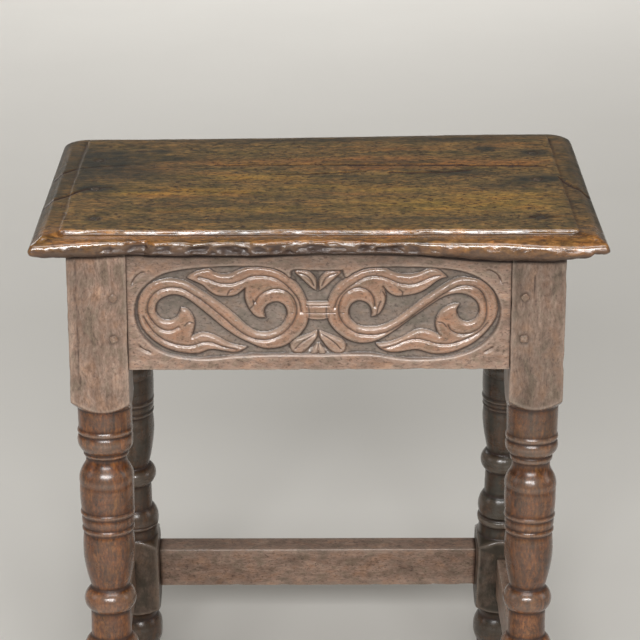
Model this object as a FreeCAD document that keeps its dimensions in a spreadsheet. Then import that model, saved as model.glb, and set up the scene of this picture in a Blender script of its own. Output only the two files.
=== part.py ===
import FreeCAD, Part
import math
import os
import re
import Sketcher

# A joined oak stool: a moulded board pegged on a frame of four raked legs, four frieze rails
# and four stretchers, held by mortises, tenons and riven pegs.
# X runs along the stool, Y from front to back, Z up. The origin is on the floor, under the
# middle of the board. Millimetres and degrees.

SIZES = (
    # The whole stool
    ("stool_height", 530),
    ("rake_angle", 4.36),
    # The board
    ("board_length", 450),
    ("board_width", 290),
    ("board_thickness", 17),
    ("board_corner", 12),
    ("field_inset", 23),
    ("field_rise", 3.5),
    ("field_arris", 1.2),
    ("nose_radius", 4),
    ("under_bevel", 8),
    ("board_overhang_left", 27.7),
    ("board_overhang_right", 31.3),
    ("board_overhang_ends", 19),
    # The legs
    ("stile_width_left", 46.9),
    ("stile_width_right", 43.2),
    ("stile_depth", 46),
    ("lathe_offset_left", 1.7),
    ("lathe_offset_right", 0),
    ("turned_radius_left", 22.3),
    ("turned_radius_right", 21),
    ("stile_drop", 36),
    ("shoulder_rise", 9.5),
    # The rails under the board
    ("frieze_height", 98),
    ("frieze_thickness", 22),
    ("frieze_arris", 2.5),
    # The rails near the floor
    ("stretcher_level", 83),
    ("stretcher_height", 40),
    ("stretcher_thickness", 22),
    ("stretcher_setback", 3),
    ("stretcher_arris", 2),
    ("block_margin", 21),
    # The joints
    ("tenon_thickness", 8),
    ("tenon_length", 24),
    ("tenon_face", 10),
    ("tenon_haunch", 18),
    ("tenon_foot", 6),
    ("stretcher_tenon_edge", 4),
    ("tenon_clearance", 0.1),
    ("mortise_end_gap", 1),
    # The pegs
    ("peg_radius", 3.3),
    ("peg_length", 28),
    ("peg_proud", 1),
    ("peg_clearance", 0.1),
    ("peg_from_shoulder", 11),
    ("board_peg_radius", 4),
    ("board_peg_bite", 14),
    # Every cut starts this far outside the wood
    ("overrun", 5),
)
SIZE = dict(SIZES)

PEG_FACETS = 8

# The turning between the two blocks, from the top down. Each row gives one moulding: its name,
# its top and bottom level as shares of the turned height above the lower block, its radius at
# both as shares of the turned radius, and how far it swells between them, as a share of that
# radius, hollow where it is negative.
TURNING_SHARES = (
    ("neck", 1.0, 0.912, 0.99, 0.975, 0.0),
    ("collar", 0.912, 0.895, 0.98, 0.98, 0.045),
    ("cushion", 0.893, 0.830, 0.945, 0.815, 0.14),
    ("under_ring", 0.830, 0.813, 0.78, 0.78, 0.045),
    ("cove", 0.813, 0.785, 0.745, 0.79, -0.03),
    ("barrel_shoulder", 0.782, 0.715, 0.81, 0.99, 0.085),
    ("barrel", 0.715, 0.622, 0.99, 0.955, 0.025),
    ("waist_ring", 0.622, 0.605, 0.955, 0.955, 0.045),
    ("band", 0.603, 0.563, 0.94, 0.91, 0.035),
    ("second_ring", 0.563, 0.546, 0.92, 0.92, 0.045),
    ("vase", 0.544, 0.445, 0.90, 0.93, 0.03),
    ("vase_taper", 0.445, 0.332, 0.93, 0.67, 0.03),
    ("upper_bead", 0.332, 0.248, 0.70, 0.735, 0.24),
    ("spindle", 0.248, 0.147, 0.735, 0.745, 0.0),
    ("lower_bead", 0.147, 0.071, 0.755, 0.84, 0.215),
    ("base_ring", 0.071, 0.046, 0.975, 0.975, 0.06),
    ("base_neck", 0.044, 0.0, 0.945, 0.99, -0.02),
)

# The foot below the lower block, in the same form. Its levels are shares of the foot's height,
# and its last one runs below the floor, where the level cut of the sole ends it.
FOOT_SHARES = (
    ("ankle", 1.0, 0.84, 0.95, 0.80, -0.05),
    ("foot_bead", 0.84, 0.39, 0.815, 0.885, 0.20),
    ("toe", 0.39, 0.05, 0.86, 0.775, 0.02),
    ("sole", 0.05, -0.08, 0.775, 0.775, 0.0),
)

# The pegs through the board: the side, what carries the peg, how far it stands in from the
# carrier's outer face, as a share of the carrier's thickness there, and its place from front to
# back, as a share of the side rail's half length or of the front leg's depth.
BOARD_PEG_SHARES = (
    ("left", "leg", 0.44, 0.26),
    ("left", "rail", 0.64, -0.20),
    ("left", "rail", 0.51, 0.78),
    ("right", "leg", 0.42, 0.26),
    ("right", "rail", 0.53, 0.06),
    ("right", "rail", 0.40, 0.91),
)

# The pegs of a frieze rail's tenon: how far down the rail each one stands, as a share of the
# rail's height.
FRIEZE_PEG_SHARES = (0.40, 0.745)

SIDES = {"left": -1, "right": 1}
ENDS = {"front": -1, "rear": 1}

# Places that many pieces share, as formulas of the sizes.
RAKE = "(rake_angle * 1deg)"
FRAME_TOP = "(stool_height - board_thickness)"
FRAME_HALF_LENGTH = "((board_length - board_overhang_left - board_overhang_right) / 2)"
FRAME_HALF_WIDTH = "(board_width / 2 - board_overhang_ends)"
FRAME_SHIFT = "((board_overhang_left - board_overhang_right) / 2)"
FRIEZE_LOW = f"({FRAME_TOP} - frieze_height)"
STRETCHER_TOP = "(stretcher_level + stretcher_height)"
BLOCK_END = f"({FRIEZE_LOW} - stile_drop)"
LOW_BLOCK_TOP = f"({STRETCHER_TOP} + block_margin)"
LOW_BLOCK_FOOT = "(stretcher_level - block_margin)"
# How far the middle plane of the front or rear legs stands from the middle of the stool, at
# the floor.
LEG_STANCE = f"({FRAME_HALF_WIDTH} + {FRAME_TOP} * tan{RAKE} - stile_depth / 2 / cos{RAKE})"


def cells(text):
    """A formula with each size name pointed at its cell in the sheet."""
    def point(match):
        word = match.group(0)
        return "Sizes." + word if word in SIZE else word
    return re.sub(r"[a-z_]+", point, text)


def bind(thing, **formulas):
    """Ties properties of an object to formulas of the sizes."""
    for name, text in formulas.items():
        thing.setExpression(name, cells(text))


def place(thing, x="0", y="0", z="0", axis=None, sense=1, angle=None):
    """Ties an object's place to formulas, and its turn about one axis to an angle."""
    for name, text in (("x", x), ("y", y), ("z", z)):
        thing.setExpression(f".Placement.Base.{name}", cells(text))
    if axis:
        for name in "xyz":
            share = sense if name == axis else 0
            thing.setExpression(f".Placement.Rotation.Axis.{name}", str(share))
        thing.setExpression(".Placement.Rotation.Angle", cells(angle))


def make_sheet(doc):
    sheet = doc.addObject("Spreadsheet::Sheet", "Sizes")
    for row, (name, value) in enumerate(SIZES, start=1):
        sheet.set(f"A{row}", name.replace("_", " "))
        sheet.set(f"B{row}", str(value))
        sheet.setAlias(f"B{row}", name)
    gauge = doc.addObject("App::FeaturePython", "Gauge")
    gauge.addProperty("App::PropertyFloat", "reading")
    doc.recompute()
    return sheet


def make_body(doc, label):
    body = doc.addObject("PartDesign::Body", label)
    body.Label = label
    return body


def make_sketch(body, name, role, offset="0"):
    """A sketch on one of the body's own origin planes, moved along its normal."""
    plane = [item for item in body.Origin.OriginFeatures if item.Role == role][0]
    sketch = body.newObject("Sketcher::SketchObject", name)
    sketch.AttachmentSupport = [(plane, "")]
    sketch.MapMode = "FlatFace"
    sketch.setExpression(".AttachmentOffset.Base.z", cells(offset))
    return sketch


def worth(text):
    """The number that a formula of the sizes gives."""
    gauge = FreeCAD.ActiveDocument.getObject("Gauge")
    gauge.setExpression("reading", cells(text))
    gauge.recompute()
    return gauge.reading


def spot(texts):
    """A point of a sketch, worked out from its pair of formulas."""
    return FreeCAD.Vector(worth(texts[0]), worth(texts[1]), 0)


def dimension(sketch, rules):
    """Adds constraints at once, then ties each dimension to its formula."""
    first = sketch.ConstraintCount
    sketch.addConstraint([rule for rule, unused in rules])
    for step, (unused, text) in enumerate(rules, start=first):
        if text:
            sketch.setExpression(f"Constraints[{step}]", cells(text))


def point_rules(edge, end, texts):
    """The rules that hold a point of an edge at its two distances from the sketch's origin."""
    point = spot(texts)
    across = Sketcher.Constraint("DistanceX", -1, 1, edge, end, point.x)
    above = Sketcher.Constraint("DistanceY", -1, 1, edge, end, point.y)
    return [(across, texts[0]), (above, texts[1])]


def add_polygon(sketch, corners):
    """A closed outline through corners given as pairs of formulas."""
    count = len(corners)
    points = [spot(corner) for corner in corners]
    rules = []
    for step in range(count):
        following = (step + 1) % count
        sketch.addGeometry(Part.LineSegment(points[step], points[following]), False)
        rules.append((Sketcher.Constraint("Coincident", step, 2, following, 1), None))
        rules += point_rules(step, 1, corners[step])
    dimension(sketch, rules)


def box_corners(x_low, y_low, x_high, y_high):
    return ((x_low, y_low), (x_high, y_low), (x_high, y_high), (x_low, y_high))


def add_box(body, name, kind, corner, size, turn=0):
    """A block added to or cut from the body, by its low corner, turned back from the rake."""
    block = body.newObject(f"PartDesign::{kind}Box", name)
    bind(block, Length=size[0], Width=size[1], Height=size[2])
    if turn:
        place(block, *corner, axis="x", sense=turn, angle="rake_angle")
    else:
        place(block, *corner)
    return block


def add_hole(body, name, start, depth, radius, axis=None, sense=1, angle=None):
    """A round hole that starts outside the wood and ends at its depth."""
    hole = body.newObject("PartDesign::SubtractiveCylinder", name)
    bind(hole, Radius=radius, Height=depth)
    place(hole, *start, axis=axis, sense=sense, angle=angle)
    return hole


def cut_start(face, depth, normal):
    """The low edge of a cut into a face that looks along its normal, up or down an axis."""
    if normal > 0:
        return f"({face} - {depth})"
    return f"({face} - overrun)"


def outer_x(side):
    """The outer face of the frame at one end."""
    return f"({FRAME_SHIFT} + {SIDES[side]} * {FRAME_HALF_LENGTH})"


def level_in_leg(text):
    """A height above the floor, measured along a raked leg."""
    return f"({text} / cos{RAKE})"


def into_leg(end, y, z):
    """A place that is level with the floor, as a raked leg of that end sees it."""
    sign = ENDS[end]
    across = f"({y} * cos{RAKE} + {sign} * {z} * sin{RAKE})"
    along = f"({z} * cos{RAKE} - {sign} * {y} * sin{RAKE})"
    return across, along


def out_of_leg(end, y, z):
    """A place on a raked leg of that end, as the level stool sees it."""
    sign = ENDS[end]
    across = f"({sign} * {LEG_STANCE} + {y} * cos{RAKE} - {sign} * {z} * sin{RAKE})"
    above = f"({sign} * {y} * sin{RAKE} + {z} * cos{RAKE})"
    return across, above


def place_raked(thing, end, x="0"):
    """Stands an object in the plane of the front or rear legs."""
    sign = ENDS[end]
    place(thing, x, f"{sign} * {LEG_STANCE}", "0", axis="x", sense=sign, angle="rake_angle")


def shoulder_reach(level):
    """Half the length of a side rail at a height, where it meets the stiles' inner faces."""
    outside = f"{FRAME_HALF_WIDTH} + ({FRAME_TOP} - {level}) * tan{RAKE}"
    return f"({outside} - stile_depth / cos{RAKE})"


def add_turning(body, name, rows, radius, corner, low, high, rise):
    """Draws the wood that the lathe takes off between two levels.

    The outline follows the mouldings from the top down and closes outside the stock. Where the
    stock stays square above or below, a shoulder rises outwards to its corners, which leaves
    each flat face with a rounded end. An arc is held by its ends and by its radius, chord
    squared over eight bows plus half a bow.
    """
    sketch = make_sketch(body, f"{name}_outline", "XZ_Plane")
    height = f"({high} - {low})"
    clear = f"({radius} + stile_depth)"

    def texts(level_share, radius_share):
        return f"{radius_share} * {radius}", f"{low} + {level_share} * {height}"

    # Each stop is a point of the outline and the moulding's bow on the way to it.
    stops = [((reach, f"{high} + {rise[0]}"), None, None) for reach in (clear, corner)]
    for unused, top, bottom, top_radius, bottom_radius, swell in rows:
        start, finish = texts(top, top_radius), texts(bottom, bottom_radius)
        if stops[-1][0] != start:
            stops.append((start, None, None))
        bow = f"({abs(swell)} * {radius})"
        drop = f"(({top} - {bottom}) * {height})"
        taper = f"(({top_radius} - {bottom_radius}) * {radius})"
        arc_radius = f"({drop}^2 + {taper}^2) / (8 * {bow}) + {bow} / 2"
        stops.append((finish, swell, arc_radius) if swell else (finish, None, None))
    stops += [((reach, f"{low} - {rise[1]}"), None, None) for reach in (corner, clear)]

    points = [spot(stop[0]) for stop in stops]
    edges, rules = [], []
    for step, (unused, swell, arc_radius) in enumerate(stops):
        start, finish = points[step - 1], points[step]
        if swell is None:
            edges.append((sketch.addGeometry(Part.LineSegment(start, finish), False), 1, 2))
            continue
        reach, bow = worth(arc_radius), abs(swell) * worth(radius)
        along = (finish - start).normalize()
        swelling = FreeCAD.Vector(-along.y, along.x, 0) * (1 if swell > 0 else -1)
        centre = (start + finish) / 2 - swelling * (reach - bow)
        # A sketch draws its arcs anticlockwise, so a swelling one is drawn upwards.
        begin, end = (finish, start) if swell > 0 else (start, finish)
        turns = [math.atan2(point.y - centre.y, point.x - centre.x) for point in (begin, end)]
        circle = Part.Circle(centre, FreeCAD.Vector(0, 0, 1), reach)
        edge = sketch.addGeometry(Part.ArcOfCircle(circle, *turns), False)
        edges.append((edge, 2, 1) if swell > 0 else (edge, 1, 2))
        rules.append((Sketcher.Constraint("Radius", edge, reach), arc_radius))
    for step, (edge, unused, last) in enumerate(edges):
        following, first, unused = edges[(step + 1) % len(edges)]
        rules.append((Sketcher.Constraint("Coincident", edge, last, following, first), None))
        rules += point_rules(edge, last, stops[step][0])
    dimension(sketch, rules)
    return sketch


def turn_stock(body, name, rows, radius, corner, low, high, rise):
    """Cuts a turned stretch out of the square stock."""
    sketch = add_turning(body, name, rows, radius, corner, low, high, rise)
    groove = body.newObject("PartDesign::Groove", name)
    groove.Profile = sketch
    groove.ReferenceAxis = (sketch, ["V_Axis"])
    groove.Angle = 360


def peg_levels(kind):
    """The heights of a joint's pegs, measured along the leg."""
    if kind == "frieze":
        top = level_in_leg(FRAME_TOP)
        return tuple(f"({top} - {share} * frieze_height)" for share in FRIEZE_PEG_SHARES)
    return (f"({level_in_leg('stretcher_level')} + stretcher_height / 2)",)


def tenon_span(kind):
    """The lowest and highest edge of a rail's tenon, level with the floor."""
    if kind == "frieze":
        return f"({FRIEZE_LOW} + tenon_foot)", f"({FRAME_TOP} - tenon_haunch)"
    return "(stretcher_level + stretcher_tenon_edge)", f"({STRETCHER_TOP} - stretcher_tenon_edge)"


def raked_tenon_span(kind):
    """The same edges on a rail that lies in the raked plane of the legs."""
    if kind == "frieze":
        low, high = level_in_leg(FRIEZE_LOW), level_in_leg(FRAME_TOP)
        return f"({low} + tenon_foot)", f"({high} - tenon_haunch)"
    low = level_in_leg("stretcher_level")
    return f"({low} + stretcher_tenon_edge)", f"({low} + stretcher_height - stretcher_tenon_edge)"


def side_tenon_end(kind):
    """How far a side rail reaches from the middle of the stool, with its tenon."""
    top = FRAME_TOP if kind == "frieze" else STRETCHER_TOP
    return f"({shoulder_reach(top)} + tenon_length)"


def low_of(sign, near, far):
    """The low end of the stretch between two distances on the side that the sign gives."""
    return near if sign > 0 else f"(0 - {far})"


def peg_place_across(side):
    """The pegs of a front or rear rail, across the leg from its lathe axis."""
    return f"({SIDES[side]} * (lathe_offset_{side} - stile_width_{side} / 2 + peg_from_shoulder))"


def peg_place_along(end):
    """The pegs of a side rail, from the middle of the leg's depth."""
    return f"({ENDS[end]} * (peg_from_shoulder - stile_depth / 2))"


def make_leg(doc, end, side):
    body = make_body(doc, f"{end}_{side}_leg")
    sign_x, sign_y = SIDES[side], ENDS[end]
    stile_width = f"stile_width_{side}"
    lathe_offset = f"lathe_offset_{side}"
    radius = f"turned_radius_{side}"
    half_width, half_depth = f"({stile_width} / 2)", "(stile_depth / 2)"
    leg_top = f"({level_in_leg(FRAME_TOP)} + stile_depth * tan{RAKE} + overrun)"

    section = make_sketch(body, "stock_section", "XY_Plane", "0 - overrun")
    centre = f"{sign_x} * {lathe_offset}"
    add_polygon(section, box_corners(
        f"{centre} - {half_width}", f"0 - {half_depth}", f"{centre} + {half_width}", half_depth))
    stock = body.newObject("PartDesign::Pad", "stock")
    stock.Profile = section
    bind(stock, Length=f"{leg_top} + overrun")
    doc.recompute()

    corner = f"sqrt(({half_width} + {lathe_offset})^2 + {half_depth}^2)"
    turn_stock(body, "turning", TURNING_SHARES, radius, corner, level_in_leg(LOW_BLOCK_TOP),
               level_in_leg(BLOCK_END), ("shoulder_rise", "shoulder_rise"))
    turn_stock(body, "foot", FOOT_SHARES, radius, corner, "0", level_in_leg(LOW_BLOCK_FOOT),
               ("shoulder_rise", "overrun"))

    reach = f"({stile_width} + stile_depth)"
    for name, low in (("level_top", FRAME_TOP), ("level_sole", "(0 - stile_depth)")):
        across, along = into_leg(end, f"(0 - {reach})", low)
        add_box(body, name, "Subtractive", (f"0 - {reach}", across, along),
                (f"2 * {reach}", f"2 * {reach}", "stile_depth"), -sign_y)

    inner_face = f"({sign_x} * ({lathe_offset} - {half_width}))"
    mortise_depth = "(tenon_length + mortise_end_gap)"
    near = "(stile_depth / 2 - tenon_face - tenon_thickness - tenon_clearance)"
    far = "(stile_depth / 2 - tenon_face + tenon_clearance)"
    side_near = f"({lathe_offset} + {half_width} - tenon_face - tenon_thickness - tenon_clearance)"
    side_far = f"({lathe_offset} + {half_width} - tenon_face + tenon_clearance)"
    thickness = "tenon_thickness + 2 * tenon_clearance"
    for kind in ("frieze", "stretcher"):
        low, high = raked_tenon_span(kind)
        add_box(body, f"{kind}_mortise", "Subtractive",
                (cut_start(inner_face, mortise_depth, -sign_x), low_of(sign_y, near, far),
                 f"{low} - tenon_clearance"),
                (f"{mortise_depth} + overrun", thickness, f"{high} - {low} + 2 * tenon_clearance"))
        low, high = tenon_span(kind)
        top = FRAME_TOP if kind == "frieze" else STRETCHER_TOP
        start = f"({shoulder_reach(top)} - overrun - {LEG_STANCE})"
        finish = f"({side_tenon_end(kind)} + mortise_end_gap - {LEG_STANCE})"
        across, along = into_leg(end, low_of(sign_y, start, finish), f"({low} - tenon_clearance)")
        add_box(body, f"side_{kind}_mortise", "Subtractive",
                (low_of(sign_x, side_near, side_far), across, along),
                (thickness, f"{finish} - {start}", f"{high} - {low} + 2 * tenon_clearance"), -sign_y)
        for step, level in enumerate(peg_levels(kind)):
            depth = "peg_length + overrun + mortise_end_gap"
            bore = "peg_radius + peg_clearance"
            add_hole(body, f"{kind}_peg_hole_{step}",
                     (peg_place_across(side), f"{sign_y} * ({half_depth} + overrun)", level),
                     depth, bore, "x", sign_y, "90")
            add_hole(body, f"side_{kind}_peg_hole_{step}",
                     (f"{sign_x} * ({lathe_offset} + {half_width} + overrun)",
                      peg_place_along(end), level),
                     depth, bore, "y", -sign_x, "90")
    if end == "front":
        for place_x, place_y in board_peg_places(side, "leg"):
            lathe_x = f"({outer_x(side)} - {sign_x} * ({half_width} + {lathe_offset}))"
            base = f"({FRAME_TOP} - board_peg_bite - mortise_end_gap)"
            across, along = into_leg(end, f"({place_y} - {sign_y} * {LEG_STANCE})", base)
            add_hole(body, "board_peg_hole", (f"{place_x} - {lathe_x}", across, along),
                     "board_peg_bite + mortise_end_gap + overrun",
                     "board_peg_radius + peg_clearance", "x", -sign_y, "rake_angle")
    place_raked(body, end, f"{outer_x(side)} - {sign_x} * ({half_width} + {lathe_offset})")
    return body


def board_peg_places(side, carrier=None):
    """The pegs through the board at one side, from the middle of the stool."""
    places = []
    for row_side, carried, inset_share, depth_share in BOARD_PEG_SHARES:
        if row_side != side or carrier not in (None, carried):
            continue
        thickness, place_y = "frieze_thickness", f"({depth_share} * {shoulder_reach(FRAME_TOP)})"
        if carried == "leg":
            thickness = f"stile_width_{side}"
            place_y = f"(0 - {shoulder_reach(FRAME_TOP)} - {depth_share} * stile_depth)"
        places.append((f"({outer_x(side)} - {SIDES[side]} * {inset_share} * {thickness})", place_y))
    return places


def round_edges(body, name, radius, wanted):
    """Rounds the edges that a test of their middle point and direction picks."""
    body.Document.recompute()
    base = body.Tip
    names = []
    for step, edge in enumerate(base.Shape.Edges, start=1):
        middle = edge.valueAt((edge.FirstParameter + edge.LastParameter) / 2)
        if wanted(edge, middle):
            names.append(f"Edge{step}")
    if not names:
        raise RuntimeError(f"{name} of {body.Label} finds no edge")
    fillet = body.newObject("PartDesign::Fillet", name)
    fillet.Base = (base, names)
    bind(fillet, Radius=radius)
    body.Document.recompute()
    return fillet


def make_long_rail(doc, end, kind):
    """A rail between the two front or the two rear legs, in their raked plane."""
    body = make_body(doc, f"{end}_frieze_rail" if kind == "frieze" else f"{end}_stretcher")
    sign_y = ENDS[end]
    low = level_in_leg(FRIEZE_LOW if kind == "frieze" else "stretcher_level")
    height = f"{level_in_leg(FRAME_TOP)} + stile_depth * tan{RAKE} - {low}"
    setback = "0"
    if kind == "stretcher":
        height, setback = "stretcher_height", "stretcher_setback"
    far = f"(stile_depth / 2 - {setback})"
    near = f"({far} - {kind}_thickness)"
    left = f"({outer_x('left')} + stile_width_left)"
    right = f"({outer_x('right')} - stile_width_right)"
    add_box(body, "board", "Additive", (left, low_of(sign_y, near, far), low),
            (f"{right} - {left}", f"{kind}_thickness", height))
    tenon_far = "(stile_depth / 2 - tenon_face)"
    tenon_near = f"({tenon_far} - tenon_thickness)"
    tenon_low, tenon_high = raked_tenon_span(kind)
    add_box(body, "tenons", "Additive",
            (f"{left} - tenon_length", low_of(sign_y, tenon_near, tenon_far), tenon_low),
            (f"{right} - {left} + 2 * tenon_length", "tenon_thickness", f"{tenon_high} - {tenon_low}"))
    if kind == "frieze":
        reach = "(2 * stile_depth)"
        across, along = into_leg(end, f"(0 - {reach})", FRAME_TOP)
        add_box(body, "level_top", "Subtractive", (f"{left} - overrun", across, along),
                (f"{right} - {left} + 2 * overrun", f"2 * {reach}", "stile_depth"), -sign_y)
    for side in SIDES:
        lathe_x = f"({outer_x(side)} - {SIDES[side]} * (stile_width_{side} / 2 + lathe_offset_{side}))"
        for step, level in enumerate(peg_levels(kind)):
            add_hole(body, f"{side}_peg_hole_{step}",
                     (f"{lathe_x} + {peg_place_across(side)}",
                      f"{sign_y} * (stile_depth / 2 + overrun)", level),
                     "peg_length + overrun + mortise_end_gap", "peg_radius + peg_clearance",
                     "x", sign_y, "90")
    place_raked(body, end)
    long_edge = SIZE["board_length"] / 2
    outer_half = (SIZE["stile_depth"] - SIZE[f"{kind}_thickness"]) / 2
    middle_level = SIZE["stool_height"] - SIZE["board_thickness"] - SIZE["frieze_height"] / 2
    round_edges(body, "arrises", f"{kind}_arris",
                lambda edge, middle: edge.Length > long_edge and middle.z < middle_level
                and middle.y * sign_y > outer_half)
    return body


def make_side_rail(doc, side, kind):
    """A rail between the front and rear leg of one side, with shoulders cut to the rake."""
    body = make_body(doc, f"{side}_frieze_rail" if kind == "frieze" else f"{side}_stretcher")
    sign_x = SIDES[side]
    low, high = (FRIEZE_LOW, FRAME_TOP) if kind == "frieze" else ("stretcher_level", STRETCHER_TOP)
    setback = "0" if kind == "frieze" else "stretcher_setback"
    outer = f"({outer_x(side)} - {sign_x} * {setback})"
    start = outer if sign_x < 0 else f"({outer} - {kind}_thickness)"
    outline = make_sketch(body, "outline", "YZ_Plane", start)
    add_polygon(outline, ((f"0 - {shoulder_reach(low)}", low), (shoulder_reach(low), low),
                          (shoulder_reach(high), high), (f"0 - {shoulder_reach(high)}", high)))
    board = body.newObject("PartDesign::Pad", "board")
    board.Profile = outline
    bind(board, Length=f"{kind}_thickness")
    doc.recompute()
    tenon_low, tenon_high = tenon_span(kind)
    near = f"({outer_x(side)} - {sign_x} * tenon_face)"
    tenon_x = near if sign_x < 0 else f"({near} - tenon_thickness)"
    reach = side_tenon_end(kind)
    add_box(body, "tenons", "Additive", (tenon_x, f"0 - {reach}", tenon_low),
            ("tenon_thickness", f"2 * {reach}", f"{tenon_high} - {tenon_low}"))
    for end in ENDS:
        for step, level in enumerate(peg_levels(kind)):
            across, above = out_of_leg(end, peg_place_along(end), level)
            add_hole(body, f"{end}_peg_hole_{step}",
                     (f"{outer_x(side)} + {sign_x} * overrun", across, above),
                     "peg_length + overrun + mortise_end_gap", "peg_radius + peg_clearance",
                     "y", -sign_x, "90")
    if kind == "frieze":
        for step, (place_x, place_y) in enumerate(board_peg_places(side, "rail")):
            add_hole(body, f"board_peg_hole_{step}",
                     (place_x, place_y, f"{FRAME_TOP} - board_peg_bite - mortise_end_gap"),
                     "board_peg_bite + mortise_end_gap + overrun",
                     "board_peg_radius + peg_clearance")
    middle_level = SIZE["stool_height"] - SIZE["board_thickness"] - SIZE["frieze_height"] / 2
    outer_plane = worth(f"{FRAME_HALF_LENGTH} - {kind}_thickness")
    radius = f"{kind}_arris"
    round_edges(body, "arrises", radius,
                lambda edge, middle: edge.Length > SIZE["board_width"] / 2
                and middle.x * sign_x > outer_plane and middle.z < middle_level)
    return body


def make_board(doc):
    """The board: a raised field inside a rounded nose, bevelled underneath."""
    body = make_body(doc, "seat_board")
    slab_top = "(stool_height - field_rise)"
    outline = make_sketch(body, "slab_outline", "XY_Plane", FRAME_TOP)
    half_length, half_width = "(board_length / 2)", "(board_width / 2)"
    add_polygon(outline, box_corners(f"0 - {half_length}", f"0 - {half_width}",
                                     half_length, half_width))
    slab = body.newObject("PartDesign::Pad", "slab")
    slab.Profile = outline
    bind(slab, Length=f"{slab_top} - {FRAME_TOP}")
    low = SIZE["stool_height"] - SIZE["board_thickness"]
    high = SIZE["stool_height"] - SIZE["field_rise"]
    near = SIZE["field_arris"] / 2
    round_edges(body, "rear_corners", "board_corner",
                lambda edge, middle: low + near < middle.z < high - near and middle.y > 0)
    round_edges(body, "nose", "nose_radius",
                lambda edge, middle: abs(middle.z - high) < near)
    base = body.Tip
    rim = [f"Edge{step}" for step, edge in enumerate(base.Shape.Edges, start=1)
           if abs(edge.valueAt(edge.FirstParameter).z - low) < near
           and abs(edge.valueAt(edge.LastParameter).z - low) < near]
    bevel = body.newObject("PartDesign::Chamfer", "under_bevel")
    bevel.Base = (base, rim)
    bind(bevel, Size="under_bevel")
    doc.recompute()

    field_outline = make_sketch(body, "field_outline", "XY_Plane", slab_top)
    half_length, half_width = f"({half_length} - field_inset)", f"({half_width} - field_inset)"
    add_polygon(field_outline, box_corners(f"0 - {half_length}", f"0 - {half_width}",
                                           half_length, half_width))
    field = body.newObject("PartDesign::Pad", "field")
    field.Profile = field_outline
    bind(field, Length="field_rise")
    top = SIZE["stool_height"]
    round_edges(body, "field_edge", "field_arris",
                lambda edge, middle: abs(middle.z - top) < near)
    for side in SIDES:
        for step, (place_x, place_y) in enumerate(board_peg_places(side)):
            add_hole(body, f"{side}_peg_hole_{step}",
                     (place_x, place_y, f"{FRAME_TOP} - overrun"),
                     "board_thickness + 2 * overrun", "board_peg_radius + peg_clearance")
    place(body)
    return body


def make_peg(doc, name, radius, length, start, axis=None, sense=1, angle=None):
    """A peg riven to eight facets, which bites where its corners meet the round hole."""
    peg = doc.addObject("Part::Prism", name)
    peg.Polygon = PEG_FACETS
    bind(peg, Circumradius=radius, Height=length)
    place(peg, *start, axis=axis, sense=sense, angle=angle)
    return peg


def group_pegs(doc, label, pegs):
    group = doc.addObject("Part::Compound", label)
    group.Label = label
    group.Links = pegs
    return group


def make_joint_pegs(doc, end, side, kind, into):
    """The pegs of one joint, driven in through the front or rear face, or through the side."""
    face = end if into == "long" else side
    label = f"{end}_{side}_{kind}_pegs_in_{face}"
    half_width = f"(stile_width_{side} / 2)"
    pegs = []
    for step, level in enumerate(peg_levels(kind)):
        if into == "long":
            start = (peg_place_across(side), f"{ENDS[end]} * (stile_depth / 2 + peg_proud)", level)
            turn = ("x", ENDS[end], "90")
        else:
            start = (f"{SIDES[side]} * (lathe_offset_{side} + {half_width} + peg_proud)",
                     peg_place_along(end), level)
            turn = ("y", -SIDES[side], "90")
        pegs.append(make_peg(doc, f"{label}_{step}", "peg_radius", "peg_length + peg_proud",
                             start, *turn))
    group = group_pegs(doc, label, pegs)
    place_raked(group, end, f"{outer_x(side)} - {SIDES[side]} * ({half_width} + lathe_offset_{side})")
    return group


def make_board_pegs(doc, side):
    label = f"{side}_board_pegs"
    pegs = [make_peg(doc, f"{label}_{step}", "board_peg_radius", "board_thickness + board_peg_bite",
                     (place_x, place_y, f"{FRAME_TOP} - board_peg_bite"))
            for step, (place_x, place_y) in enumerate(board_peg_places(side))]
    group = group_pegs(doc, label, pegs)
    place(group)
    return group


def check_document(doc, pieces):
    """Stops before anything is written when an object failed, a cut or groove removes no wood,
    or a piece has no sound shape."""
    for thing in doc.Objects:
        if "Invalid" in thing.State or "Error" in thing.State:
            raise RuntimeError(f"{thing.Label} is {thing.State}")
        if "Subtractive" in thing.TypeId or "Groove" in thing.TypeId:
            if thing.Shape.Volume >= thing.BaseFeature.Shape.Volume:
                raise RuntimeError(f"{thing.Label} of {thing.getParent().Label} cuts nothing")
    for piece in pieces:
        if piece.Shape.isNull() or not piece.Shape.isValid() or not piece.Shape.Solids:
            raise RuntimeError(f"{piece.Label} has no sound shape")


def main():
    doc = FreeCAD.newDocument("joined_stool")
    make_sheet(doc)
    pieces = [make_board(doc)]
    for end in ENDS:
        pieces += [make_leg(doc, end, side) for side in SIDES]
    for kind in ("frieze", "stretcher"):
        pieces += [make_long_rail(doc, end, kind) for end in ENDS]
        pieces += [make_side_rail(doc, side, kind) for side in SIDES]
    for kind in ("frieze", "stretcher"):
        for end in ENDS:
            for side in SIDES:
                pieces += [make_joint_pegs(doc, end, side, kind, into) for into in ("long", "side")]
    pieces += [make_board_pegs(doc, side) for side in SIDES]
    doc.recompute()
    check_document(doc, pieces)
    os.makedirs("parts", exist_ok=True)
    for piece in pieces:
        piece.Shape.exportStep(f"parts/{piece.Label}.step")


main()
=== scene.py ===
"""A joined oak stool: a moulded board on turned legs, with a carved frieze, worn by long use.

Run as a script in Blender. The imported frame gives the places, and each operator dresses a piece
or a group of like pieces. Lengths are metres, and MM turns the small ones written here to metres.
"""

import math

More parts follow.
